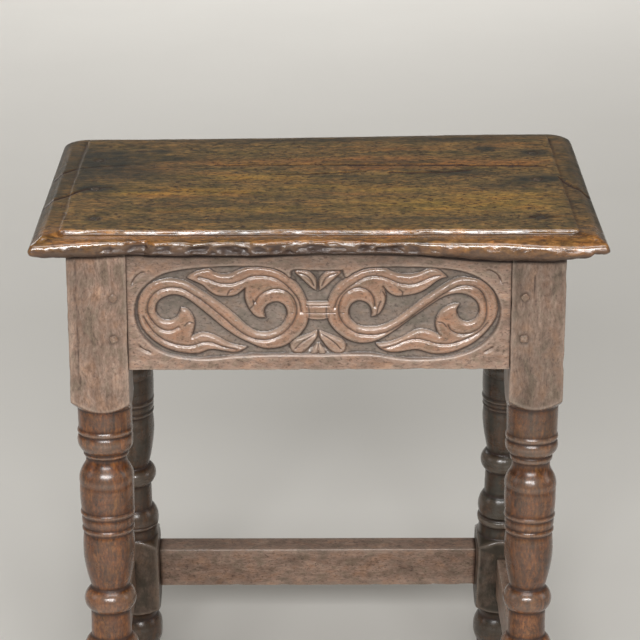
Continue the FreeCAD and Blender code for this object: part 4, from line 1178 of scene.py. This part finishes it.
def lathe_axis(side):
    """The lathe axis of the legs on one side."""
    offset = getattr(bpy.context.scene.stool_joinery, f"lathe_offset_{side}")
    return (outer_x(side) + inner_x(side)) / 2 - SIDES[side] * offset


def leg_cracks(local, end, side):
    """How deep the cracks go at each point of a leg: for each, its depth times a bell of the
    distance to its line over its half width, in the leg's front half."""
    depths = np.zeros(local.shape[:2])
    flat = local.reshape(-1, 3)
    for start, finish, width, depth in LEG_CRACKS.get((end, side), ()):
        line = np.array([start, finish]) * MM
        wander = noise(flat * (0, 0, 1), 0.008, 3) * 0.8 * MM
        seen = flat[:, [0, 2]] + np.stack([wander, 0 * wander], axis=1)
        fall = np.exp(-(line_distance(seen, line) / (width * MM)) ** 2) * (flat[:, 1] < 0)
        depths = np.maximum(depths, (depth * MM * fall).reshape(depths.shape))
    return depths


def make_leg(end, side, seed):
    """A leg is rings round its lathe axis. A ring's radius in each direction is the lesser of
    the lathe's and the distance to the square stock's side, smoothed where the two meet, so the
    lathe cuts the blocks' ends to arches."""
    sizes, wear = bpy.context.scene.stool_joinery, bpy.context.scene.stool_wear
    offset = SIDES[side] * getattr(sizes, f"lathe_offset_{side}")
    half_width = abs(outer_x(side) - inner_x(side)) / 2
    half_depth = sizes.stile_depth / 2
    reach = math.hypot(half_width + abs(offset), half_depth)
    ankle, _, high_block, crown = block_levels()
    rise = sizes.shoulder_rise

    corners = [(offset + x * half_width, y * half_depth)
               for x, y in ((1, -1), (1, 1), (-1, 1), (-1, -1))]
    outline = rounded_outline(corners, wear.arris, [1.35 * MM] * 4)
    stock = np.linalg.norm(outline, axis=1)
    direction = outline / stock[:, None]
    levels, line = leg_lathe(end, side, reach)
    line = line[:, None]
    soft = 0.5 * MM
    radii = 0.5 * (line + stock - np.sqrt((line - stock) ** 2 + soft ** 2))
    square = step(line - stock, -MM, MM)

    # The ends are level with the floor, so the stretch below the ankle and the block above the
    # shoulder are drawn to their planes.
    flat = direction[:, 1] * radii
    top_plane, sole_plane = level_plane(FRAME_TOP, end, flat), level_plane(0.0, end, flat)
    share = np.clip((levels[:, None] - high_block - rise) / (crown - high_block - rise), 0, 1)
    heights = levels[:, None] + share * (top_plane - crown)
    share = np.clip((ankle - levels[:, None]) / ankle, 0, 1)
    heights = heights + share * sole_plane
    local = np.stack([direction[:, 0] * radii, flat, heights], axis=-1)

    seeded = local + (seed * 1.7, seed * 0.9, seed * 2.3)
    normals = grid_normals(local)
    shape = leg_wear(seeded, square, seed)
    edges = step(levels, 0, 3 * MM)[:, None] * step(-levels, -crown, -crown + 3 * MM)[:, None]
    local = local + normals * (1, 1, 0) * (shape * edges)[..., None]
    # The arrises of the blocks are knocked back here and there.
    nearness = step(stock, reach - 12 * MM, reach)
    knocks = np.clip(cloud(seeded, 0.02, seed + 13, 3) - 0.1, 0, 1) * nearness * square
    local[..., :2] -= direction * (knocks * 1.5 * MM)[..., None]

    pegs = [place for group in joint_peg_places(end, side).values() for place, _ in group]
    dips = peg_dips(local.reshape(-1, 3), pegs, sizes.peg_radius).reshape(radii.shape)
    local = local - normals * (0.3 * MM * dips)[..., None]
    cracks = leg_cracks(local, end, side)
    local = local - normals * cracks[..., None]

    hollow, raised = relief_marks(local, rounds=8, depth=0.42 * MM)
    stood = raked(local, end) + (lathe_axis(side), 0, 0)
    points, faces = shell(stood)
    grime = np.clip(1.25 * hollow - 0.1, 0, 1) * 0.85
    # Random dusky patches and the darkening of LEG_DUSK, which on the rear legs is painted shade as
    # well as dirt, go on as the stain mark.
    dusky = 0.38 * step(cloud(seeded, (0.05, 0.05, 0.12), seed + 21, 3), -0.2, 0.9)
    dusky = dusky + LEG_DUSK[side] + LEG_DUSK[end]
    # The legs' tops also take the painted shadow under the board's front edge, with their grime.
    grime = np.maximum(grime, 0.9 * dirt_under_board(stood[..., 0], stood[..., 2] - FRAME_TOP))
    grain = local[..., [2, 0, 1]] + (0.4 * seed, 0.05 * seed, 0.03 * seed)
    add_piece(
        f"{end}_{side}_turned_leg", [f"{end}_{side}_leg"], "turned_oak", points, faces,
        material_of(turned_leg_oak), with_poles(grain),
        hollow=with_poles(np.clip(np.maximum(grime, np.maximum(0.45 * dips, cracks / MM)), 0, 1)),
        worn=with_poles(raised), polish=with_poles(1 - square),
        stain=with_poles(np.clip(dusky, 0, 1)))


# The rails.


def rail_wear(rings, low, axes, seed):
    """How far a rail's skin stands off its true section: a slow swell, less dents, less nibbles
    that fade as a bell from the lower arris. The axes put the noise's reach along the rail
    first."""
    def drawn(*reach):
        return np.array(reach)[axes]

    places = rings + drawn(0.8, 1, 1.1) * seed
    swell = cloud(places, drawn(0.12, 0.03, 0.03), seed, 2) * 0.2 * MM
    dents = np.clip(cloud(places, drawn(0.014, 0.009, 0.009), seed + 3, 3) - 0.4, 0, 1)
    nibbles = np.clip(cloud(places, drawn(0.009, 0.02, 0.02), seed + 7, 3) - 0.1, 0, 1)
    lower = np.exp(-(np.abs(rings[..., 2] - low) / (2.4 * MM)) ** 2)
    return swell - dents * bpy.context.scene.stool_wear.dent - lower * nibbles * 0.9 * MM


def rail_marks(rings):
    """Dirt in the hollows and wear on the arrises of a rail."""
    hollow, raised = relief_marks(rings, rounds=6, depth=0.4 * MM)
    return np.clip(hollow * 0.8, 0, 1), np.clip(raised * 0.8, 0, 1)


def add_rail(name, place, kind, rings, grain, **marks):
    """Makes a rail of its rings, which stands for the frame's rail of that kind and place."""
    node = f"{place}_frieze_rail" if kind == "frieze" else f"{place}_stretcher"
    points, faces = shell(rings)
    add_piece(name, [node], "frame_oak", points, faces, material_of(dry_frame_oak),
              with_poles(grain), **{title: with_poles(value) for title, value in marks.items()})


def make_long_rail(end, kind, name, seed, front_height=None):
    """A rail in the raked plane of the front or rear legs: a rounded section carried from
    stile to stile. Its face may carry a relief, given as a function of place."""
    sizes = bpy.context.scene.stool_joinery
    sign = ENDS[end]
    turn = math.cos(sizes.rake)
    left, right = inner_x("left"), inner_x("right")
    if kind == "frieze":
        low, high, setback = (FRAME_TOP - sizes.frieze_height) / turn, None, 0.0
    else:
        low = sizes.stretcher_level / turn
        high, setback = low + sizes.stretcher_height, sizes.stretcher_setback
    far = sign * (sizes.stile_depth / 2 - setback)
    near = far - sign * sizes.rail_thickness
    tops = [high or level_plane(FRAME_TOP, end, y) - RAIL_GAP for y in (far, near)]
    # Seen along the rail with its top up, the section runs anticlockwise.
    corners = [(near, low), (far, low), (far, tops[0]), (near, tops[1])]
    fine, coarse = (CARVED_PACE, 5 * MM) if front_height else (2.2 * MM, 4 * MM)
    paces = [coarse, fine, coarse, coarse]
    if sign < 0:
        corners = [corners[1], corners[0], corners[3], corners[2]]
        paces = [coarse, coarse, coarse, fine]
    outline = rounded_outline(corners, 1.4 * MM, paces)

    count = int((right - left) / (CARVED_PACE if front_height else 2.6 * MM))
    x = np.linspace(left + RAIL_GAP, right - RAIL_GAP, count)
    rings = np.stack(np.broadcast_arrays(x[:, None], outline[:, 0], outline[:, 1]), axis=-1)
    normals = grid_normals(rings)
    ends = (step(x, x[0], x[0] + 2 * MM) * step(-x, -x[-1], -x[-1] + 2 * MM))[:, None]
    shape = rail_wear(rings, low, [0, 1, 2], seed)
    marks = {}
    if front_height:
        on_face = np.exp(-((rings[..., 1] - far) / (0.35 * MM)) ** 2)
        relief, marks = front_height(rings)
        shape = shape * (1 - 0.6 * marks["carved"]) + relief * on_face
        marks = {title: value * on_face for title, value in marks.items() if title != "carved"}
    rings = rings + normals * (shape * ends)[..., None]
    hollow, raised = rail_marks(rings)
    if front_height:
        # Slopes that face up are painted paler, a painted highlight, and the dirt and dark cut
        # lines are mostly taken off them, so that these stay as painted shade on the slopes that
        # face down.
        rubbed = step(grid_normals(rings)[..., 2], 0.2, 0.55) * on_face * marks.pop("handled")
        hollow = np.maximum(hollow, marks.pop("cut")) * (1 - 0.9 * rubbed)
        raised = np.maximum(raised, rubbed * (1 - 0.5 * marks["ground"]))
    # Dirt lies along the joint with each stile. Painted shadow lies under the board, along its
    # lower edge, which has worn unevenly in front, and below that line a band of painted shade
    # darkens the wood, together with the darker patches of the carving's upper pockets.
    joint = np.exp(-np.minimum(x - x[0], x[-1] - x)[:, None] / (0.9 * MM))
    drop = rings[..., 2] - level_plane(FRAME_TOP, end, rings[..., 1])
    under = dirt_under_board(x[:, None], drop)
    dusk = np.maximum(0.35 * step(drop, -16 * MM, -7 * MM), marks.pop("upper_dark_patches", 0))
    hollow = np.clip(np.maximum(hollow, np.maximum(0.75 * joint, under)), 0, 1)
    grain = rings + (0.7 * seed, 0.11 * seed, 0.07 * seed)
    add_rail(name, end, kind, raked(rings, end), grain, hollow=hollow, worn=raised, stain=dusk,
             **marks)


def make_side_rail(side, kind, name, seed):
    """A rail from the front to the rear leg of one side: a rounded section carried along its
    length, whose ends follow the lean of the stiles."""
    sizes = bpy.context.scene.stool_joinery
    sign = SIDES[side]
    if kind == "frieze":
        low, high, setback = FRAME_TOP - sizes.frieze_height, FRAME_TOP - RAIL_GAP, 0.0
    else:
        low, setback = sizes.stretcher_level, sizes.stretcher_setback
        high = low + sizes.stretcher_height
    outer = outer_x(side) - sign * setback
    inner = outer - sign * sizes.rail_thickness
    small, large = min(outer, inner), max(outer, inner)
    # The rings run from front to rear, so the section is anticlockwise about that way.
    corners = [(large, low), (small, low), (small, high), (large, high)]
    outline = rounded_outline(corners, 1.5 * MM, [3 * MM, 2.2 * MM, 3 * MM, 2.2 * MM])
    share = np.linspace(-1, 1, 110)[:, None]
    reach = shoulder_reach(outline[:, 1]) - RAIL_GAP
    rings = np.stack(np.broadcast_arrays(outline[:, 0], share * reach, outline[:, 1]), axis=-1)
    shape = rail_wear(rings, low, [1, 0, 2], seed)
    ends = step(1 - np.abs(share), 0, 0.02)
    rings = rings + grid_normals(rings) * (shape * ends)[..., None]
    hollow, raised = rail_marks(rings)
    joint = np.exp(-(1 - np.abs(share)) * reach / (0.9 * MM))
    # Painted shade darkens the rail towards its top, under the board.
    under = np.exp(-(FRAME_TOP - rings[..., 2]) / (4 * MM))
    hollow = np.clip(np.maximum(hollow, np.maximum(0.75 * joint, 0.5 * under)), 0, 1)
    grain = rings[..., [1, 0, 2]] + (0.7 * seed, 0.11 * seed, 0.07 * seed)
    add_rail(name, side, kind, rings, grain, hollow=hollow, worn=raised)


# The carving.


def bell(distance, width, height=1.0):
    """A height times the bell curve of a distance over a width."""
    return height * np.exp(-(distance / width) ** 2)


def straight_cut(distance, width, depth):
    """A cut with two flat walls that meet at its line."""
    return depth * np.clip(1 - distance / width, 0, 1)


def round_cut(distance, width, depth):
    """A cut that leaves round shoulders: deepest and sharp on its line, then up a quarter
    ellipse that levels out at the width."""
    share = np.clip(distance / width, 0, 1)
    return depth * (1 - np.sqrt(1 - (1 - share) ** 2))


def crest(inner, depth):
    """The raised figure over the ground: a quarter ellipse that climbs steeply from its edge
    and levels out three millimetres in, a little below the rail's face."""
    return -0.3 - round_cut(inner, 3.0, depth - 0.3)


def carving(rings):
    """The relief of the front frieze, and the marks that go with it.

    The ground is sunk inside its edge. The scrolls, the leaves and the clasp stand up from it
    as crests with lines cut into them, and the higher of ground and crest wins.
    """
    wear, sizes = bpy.context.scene.stool_wear, bpy.context.scene.stool_joinery
    face = ENDS["front"] * sizes.stile_depth / 2
    shown = np.abs(rings[..., 1] - face) < MM
    x, level = rings[shown][:, 0], rings[shown][:, 2]
    top = level_plane(wear.panel_top, "front", face)
    flat = np.stack([x - wear.panel_left, top - level], axis=1) / MM
    places = np.concatenate([flat, np.zeros((len(flat), 1))], axis=1)
    # The carver's hand wanders a little.
    flat = flat + 0.3 * np.stack([cloud(places, 24, 3, 2), cloud(places, 24, 7, 2)], axis=1)
    middle = (wear.panel_middle - wear.panel_left) / MM
    side = np.abs(flat[:, 0] - middle)
    across = np.stack([side, flat[:, 1]], axis=1)
    depth = wear.carving_depth / MM

    ground = inside_distance(flat, curve(GROUND_EDGE, 1.5))
    scrolls = [inside_distance(flat, np.concatenate([curve(part, 1.5)[:-1] for part in scroll]))
               for scroll in (LEFT_SCROLL, RIGHT_SCROLL)]
    scroll = np.maximum(*scrolls)
    leaf = np.max([inside_distance(across, curve(loop + loop[:1], 1.0)[:-1])
                   for loop in (CROWN_LEAF, FAN_LEAF, FAN_TONGUE)], axis=0)
    wide, head, foot = CLASP
    sag = foot + 1.2 - 0.02 * side ** 2
    clasp = np.minimum(wide - side, np.minimum(flat[:, 1] - head, sag - flat[:, 1]))

    tooled = 0.2 * cloud(places, (3.4, 2.2, 1), 51, 3)
    # A narrow channel is cut less deep than a broad ground. The two distances to its sides add
    # up to its width.
    room = np.clip(ground, 0, None) + np.clip(-np.maximum(scroll, leaf), 0, None)
    deep = depth * (0.55 + 0.45 * step(room, 2.5, 7.5))
    floor = -deep * np.clip(ground, 0, 1) + tooled * step(ground, 0.6, 2)
    knifed = 0.1 * cloud(places, (2.6, 2.2, 1), 57, 2)
    heights = np.maximum(floor, np.where(scroll > 0, crest(scroll, depth) + knifed, -depth))
    heights = np.maximum(heights, np.where(leaf > 0, crest(leaf * 1.3, depth) - 0.4, -depth))
    heights = np.maximum(heights, np.where(clasp > 0, crest(clasp * 1.8, depth), -depth))
    heights = np.where(ground > 0, heights, 0) - round_cut(np.abs(ground), 1.8, 0.5) * (ground < 0)

    cuts = bell(ground - 0.2, 0.8, 0.5)
    lines = np.maximum(bell(ground - 0.4, 0.7, 0.7), bell(scroll + 0.35, 0.75) * (ground > 0))
    lines = np.maximum(lines, bell(leaf + 0.2, 0.6, 0.9) * (ground > 0))
    for found, point, kinds in ((scroll, flat, SCROLL_GROOVES), (leaf, across, LEAF_GROOVES)):
        on_figure = step(found, 0, 0.8)
        for width, cut, line in kinds:
            away = line_distance(point, curve(line, 1.5))
            cuts = np.maximum(cuts, straight_cut(away, width, 0.8 * cut) * on_figure)
            lines = np.maximum(lines, bell(away, 0.6) * on_figure)
    tied = step(clasp, -0.5, 0.6)
    for line in CLASP_LINES:
        cuts = np.maximum(cuts, round_cut(np.abs(flat[:, 1] - line), 1.5, 0.8) * tied)
    body = step(np.maximum(scroll, clasp), 0, 0.6)
    away = np.abs(flat[:, 1] - CLASP_LINES[1])
    cuts = np.maximum(cuts, bell(away, 0.45, 0.5) * step(22 - side, 0, 2) * body)
    for line in CORNER_CUTS:
        drawn = curve(line, 1.0)
        ends = [np.linalg.norm(flat - drawn[end], axis=1) for end in (0, -1)]
        ending = step(np.minimum(*ends), 0, 6)
        away = line_distance(flat, drawn)
        cuts = np.maximum(cuts, bell(away, 1.2, 1.7) * ending)
        lines = np.maximum(lines, bell(away + 0.2, 0.7, 0.8) * ending)

    figure = step(np.maximum(np.maximum(scroll, leaf), clasp), -0.2, 0.5)
    on_ground = step(ground, 0.0, 0.8) * (1 - figure)
    # The fan below the clasp is nearly as grey as the ground.
    fan = step(flat[:, 1], 56, 60) * step(-side, -24, -20)
    on_figure = step(ground, 0.2, 1.0) * figure * (1 - 0.75 * fan)
    # The ground's pockets in the upper half are darkened in patches.
    upper_dark_patches = step(cloud(places, (11, 8, 1), 61, 3), -0.5, 0.7) * step(-flat[:, 1], -58, -34)

    def whole(values):
        full = np.zeros(shown.shape)
        full[shown] = values
        return full

    # The handled mark sets how much painted highlight the up-facing slopes take, less by the
    # ground's edge.
    marks = {
        "carved": whole(step(ground, -1, 1)), "ground": whole(0.75 * on_ground),
        "relief": whole(0.6 * on_figure), "cut": whole(np.clip(lines, 0, 1) * 0.95),
        "upper_dark_patches": whole(0.4 * upper_dark_patches * on_ground),
        "handled": whole(1 - 0.75 * bell(ground - 0.6, 1.3))}
    return whole(heights - cuts) * MM, marks


# The pegs.


def peg_rings(place, way, radius, depth, proud, seed):
    """A riven peg: rings along it whose radius wavers between facets, with a knocked and domed
    head. In each direction the radius is a mean plus waves of four, three and seven facets."""
    way = np.array(way, float)
    side = np.cross(way, (0, 0, 1.0)) if abs(way[2]) < 0.9 else np.array((1.0, 0, 0))
    side /= np.linalg.norm(side)
    other = np.cross(way, side)
    angle = np.linspace(0, 2 * math.pi, PEG_SIDES, endpoint=False)
    facets = 1 + 0.09 * np.cos(4 * angle + seed) + 0.03 * np.cos(3 * angle + 2 * seed)
    facets += 0.015 * np.cos(7 * angle + 3 * seed)
    shares = np.array([(-depth, 0.8), (-depth + 0.5 * MM, 0.97), (-1.5 * MM, 0.99),
                       (proud - 0.8 * MM, 0.98), (proud - 0.35 * MM, 0.93),
                       (proud - 0.1 * MM, 0.8), (proud - 0.02 * MM, 0.5), (proud, 0.2)])
    spread = np.cos(angle)[:, None] * side + np.sin(angle)[:, None] * other
    tilt = 0.12 * np.cos(angle + seed) * radius
    rings = []
    for along, share in shares:
        flat = np.array(place) + spread * (radius * share * facets)[:, None]
        lean = tilt * share if along > 0 else 0 * tilt
        rings.append(flat + way * (along + lean)[:, None])
    return np.array(rings)


def add_pegs(name, nodes, shells, stain, grime):
    """Several pegs as one piece, stained all over and dirty from the rim of the head down."""
    points, faces = joined(shells)
    rim = np.array([1, 1, 0.9, 0.75, 0.35, 0.1, 0.05, 0.05])[:, None]
    rims = np.concatenate([with_poles(np.repeat(rim, rings.shape[1], axis=1)) for rings in shells])
    add_piece(name, nodes, "peg_oak", points, faces, material_of(riven_peg_oak),
              points * (3.0, 1.0, 1.0), hollow=rims * grime, worn=0.3 * (1 - rims) * (1 - stain),
              stain=np.full(len(points), stain))


# Operators.


class STOOL_OT_board(bpy.types.Operator):
    """Makes the moulded board, worn, cracked and chipped"""

    bl_idname = "stool.board"
    bl_label = "Board"

    def execute(self, context):
        make_board()
        return {"FINISHED"}


class STOOL_OT_board_pegs(bpy.types.Operator):
    """Makes the pegs that hold the board down"""

    bl_idname = "stool.board_pegs"
    bl_label = "Board Pegs"

    def execute(self, context):
        radius = context.scene.stool_joinery.board_peg_radius
        for side, places in board_peg_places().items():
            shells = [peg_rings((*place, BOARD_HIGH[2] - 0.45 * MM), (0, 0, 1), radius * 0.97,
                                depth=BOARD_PEG_REACH, proud=0.1 * MM,
                                seed=3.7 * count + 1.3 * SIDES[side])
                      for count, place in enumerate(places)]
            for rings in shells:
                rings[..., 2] += corner_lift(rings[..., 0], rings[..., 1])
            add_pegs(f"{side}_board_riven_pegs", [f"{side}_board_pegs"], shells,
                     stain=0.95, grime=0.6)
        return {"FINISHED"}


class STOOL_OT_legs(bpy.types.Operator):
    """Makes the four legs, turned between their square blocks"""

    bl_idname = "stool.legs"
    bl_label = "Legs"

    def execute(self, context):
        for count, end in enumerate(ENDS):
            for side in SIDES:
                make_leg(end, side, 3 + 2 * count + SIDES[side])
        return {"FINISHED"}


class STOOL_OT_carved_rail(bpy.types.Operator):
    """Makes the front frieze rail with its two carved scrolls"""

    bl_idname = "stool.carved_rail"
    bl_label = "Carved Front Rail"

    def execute(self, context):
        make_long_rail("front", "frieze", "front_carved_rail", 5, carving)
        return {"FINISHED"}


class STOOL_OT_plain_rails(bpy.types.Operator):
    """Makes the rear and side frieze rails and the four stretchers"""

    bl_idname = "stool.plain_rails"
    bl_label = "Plain Rails and Stretchers"

    def execute(self, context):
        make_long_rail("rear", "frieze", "rear_plain_rail", 8)
        for count, end in enumerate(ENDS):
            make_long_rail(end, "stretcher", f"{end}_worn_stretcher", 11 + count)
        for count, side in enumerate(SIDES):
            make_side_rail(side, "frieze", f"{side}_plain_rail", 14 + count)
            make_side_rail(side, "stretcher", f"{side}_worn_stretcher", 17 + count)
        return {"FINISHED"}


class STOOL_OT_joint_pegs(bpy.types.Operator):
    """Makes the pegs that lock the rails and stretchers in the legs"""

    bl_idname = "stool.joint_pegs"
    bl_label = "Joint Pegs"

    def execute(self, context):
        radius = context.scene.stool_joinery.peg_radius
        for end in ENDS:
            for side in SIDES:
                axis = (lathe_axis(side), 0, 0)
                for (kind, face), found in joint_peg_places(end, side).items():
                    node = f"{end}_{side}_{kind}_pegs_in_{face}"
                    shells = []
                    for count, (place, way) in enumerate(found):
                        rings = peg_rings(place, way, radius, depth=JOINT_PEG_REACH,
                                          proud=PEG_PROUD[side], seed=2.1 * count + len(node))
                        shells.append(raked(rings, end) + axis)
                    add_pegs(f"{node}_riven", [node], shells, stain=0.15, grime=PEG_GRIME[side])
        return {"FINISHED"}


class STOOL_OT_stage(bpy.types.Operator):
    """Makes the floor, the lights and the camera"""

    bl_idname = "stool.stage"
    bl_label = "Stage"

    def execute(self, context):
        make_floor()
        make_lights()
        make_camera()
        return {"FINISHED"}


def make_floor():
    """A round floor: rings of quads that widen outwards from one small face in the middle."""
    angle = np.linspace(0, 2 * math.pi, 64, endpoint=False)
    radii = np.array([0.01, 0.5, 1, 2, 4, 8, 14])[:, None]
    x, y = radii * np.cos(angle), radii * np.sin(angle)
    points = np.stack([x, y, 0 * x], axis=-1).reshape(-1, 3)
    faces = grid_faces(len(radii), len(angle))[:, ::-1].tolist()
    faces.append(list(range(len(angle))))
    mesh = bpy.data.meshes.new("studio_floor")
    mesh.from_pydata(points.tolist(), [], faces)
    mesh.materials.append(material_of(studio_floor))
    floor = bpy.data.objects.new("studio_floor", mesh)
    bpy.context.scene.collection.objects.link(floor)


# The strength of the studio's pale surroundings.
AMBIENT = 0.28
# Each soft light: its place, what it looks at, the size of its two sides, its power in watts and
# the angle that its light is held within, in degrees.
STOOL = (0, 0, 0.42)
LIGHTS = {
    "key_softbox": ((-0.15, -2.6, 1.85), STOOL, (1.9, 0.45), 68.0, 180),
    "high_softbox": ((0.1, -0.8, 2.25), STOOL, (1.5, 0.8), 18.0, 180),
    "left_fill": ((-2.6, -0.6, 1.3), STOOL, (0.9, 1.3), 4.0, 180),
    "right_fill": ((2.6, -0.3, 1.3), STOOL, (0.9, 1.3), 6.0, 180),
    "rear_fill": ((-1.7, 2.2, 1.9), STOOL, (1.0, 1.0), 10.0, 180),
    "backdrop_wash": ((0.0, 3.6, 3.2), (0.0, 3.8, 0.0), (3.0, 1.5), 28.0, 90),
}


def make_lights():
    """Soft studio light: a softbox above the camera, one overhead, low fills round about and a
    wash for the floor behind."""
    for name, (place, target, sides, power, held) in LIGHTS.items():
        light = bpy.data.lights.new(name, "AREA")
        light.shape = "RECTANGLE"
        light.size, light.size_y = sides
        light.energy = power
        light.spread = math.radians(held)
        lamp = bpy.data.objects.new(name, light)
        lamp.location = place
        way = np.array(target) - place
        lamp.rotation_euler = (math.acos(-way[2] / np.linalg.norm(way)), 0,
                               math.atan2(way[1], way[0]) - math.pi / 2)
        bpy.context.scene.collection.objects.link(lamp)
    world = bpy.data.worlds.new("studio")
    world.use_nodes = True
    background = world.node_tree.nodes["Background"]
    background.inputs["Color"].default_value = (*bpy.context.scene.stool_finish.floor, 1)
    background.inputs["Strength"].default_value = AMBIENT
    bpy.context.scene.world = world


# The camera, as the photograph was taken: place in metres, angles in degrees, and the sensor's
# width and the lens in millimetres.
CAMERA_PLACE = (-0.0082, -1.7345, 1.0795)
CAMERA_PITCH = 21.18
CAMERA_YAW = 0.32
CAMERA_SENSOR = 36
CAMERA_LENS = 123.34


def make_camera():
    """The camera of the photograph, level but for its pitch."""
    camera = bpy.data.cameras.new("photograph")
    camera.sensor_width = CAMERA_SENSOR
    camera.lens = CAMERA_LENS
    eye = bpy.data.objects.new("photograph", camera)
    eye.location = CAMERA_PLACE
    eye.rotation_euler = (math.radians(90 - CAMERA_PITCH), 0, -math.radians(CAMERA_YAW))
    bpy.context.scene.collection.objects.link(eye)
    bpy.context.scene.camera = eye
    bpy.context.scene.view_settings.view_transform = "Standard"


OPERATORS = (
    STOOL_OT_board, STOOL_OT_board_pegs, STOOL_OT_legs, STOOL_OT_carved_rail,
    STOOL_OT_plain_rails, STOOL_OT_joint_pegs, STOOL_OT_stage,
)


class STOOL_PT_panel(bpy.types.Panel):
    """Lists the stool's pieces and their settings"""

    bl_label = "Joined Oak Stool"
    bl_space_type = "VIEW_3D"
    bl_region_type = "UI"
    bl_category = "Stool"

    def draw(self, context):
        for operator in OPERATORS:
            self.layout.operator(operator.bl_idname)
        for group in (context.scene.stool_joinery, context.scene.stool_wear,
                      context.scene.stool_finish):
            box = self.layout.box()
            for name in group.__annotations__:
                box.prop(group, name)


GROUPS = {"stool_joinery": JoinerySizes, "stool_wear": WearSizes, "stool_finish": FinishColours}


def register():
    for group in (*GROUPS.values(), *OPERATORS, STOOL_PT_panel):
        bpy.utils.register_class(group)
    for name, group in GROUPS.items():
        setattr(bpy.types.Scene, name, PointerProperty(type=group))


def unregister():
    for name in GROUPS:
        delattr(bpy.types.Scene, name)
    for group in (STOOL_PT_panel, *reversed(OPERATORS), *reversed(GROUPS.values())):
        bpy.utils.unregister_class(group)


def main():
    register()
    for operator in OPERATORS:
        group, name = operator.bl_idname.split(".")
        getattr(getattr(bpy.ops, group), name)()


if __name__ == "__main__":
    main()
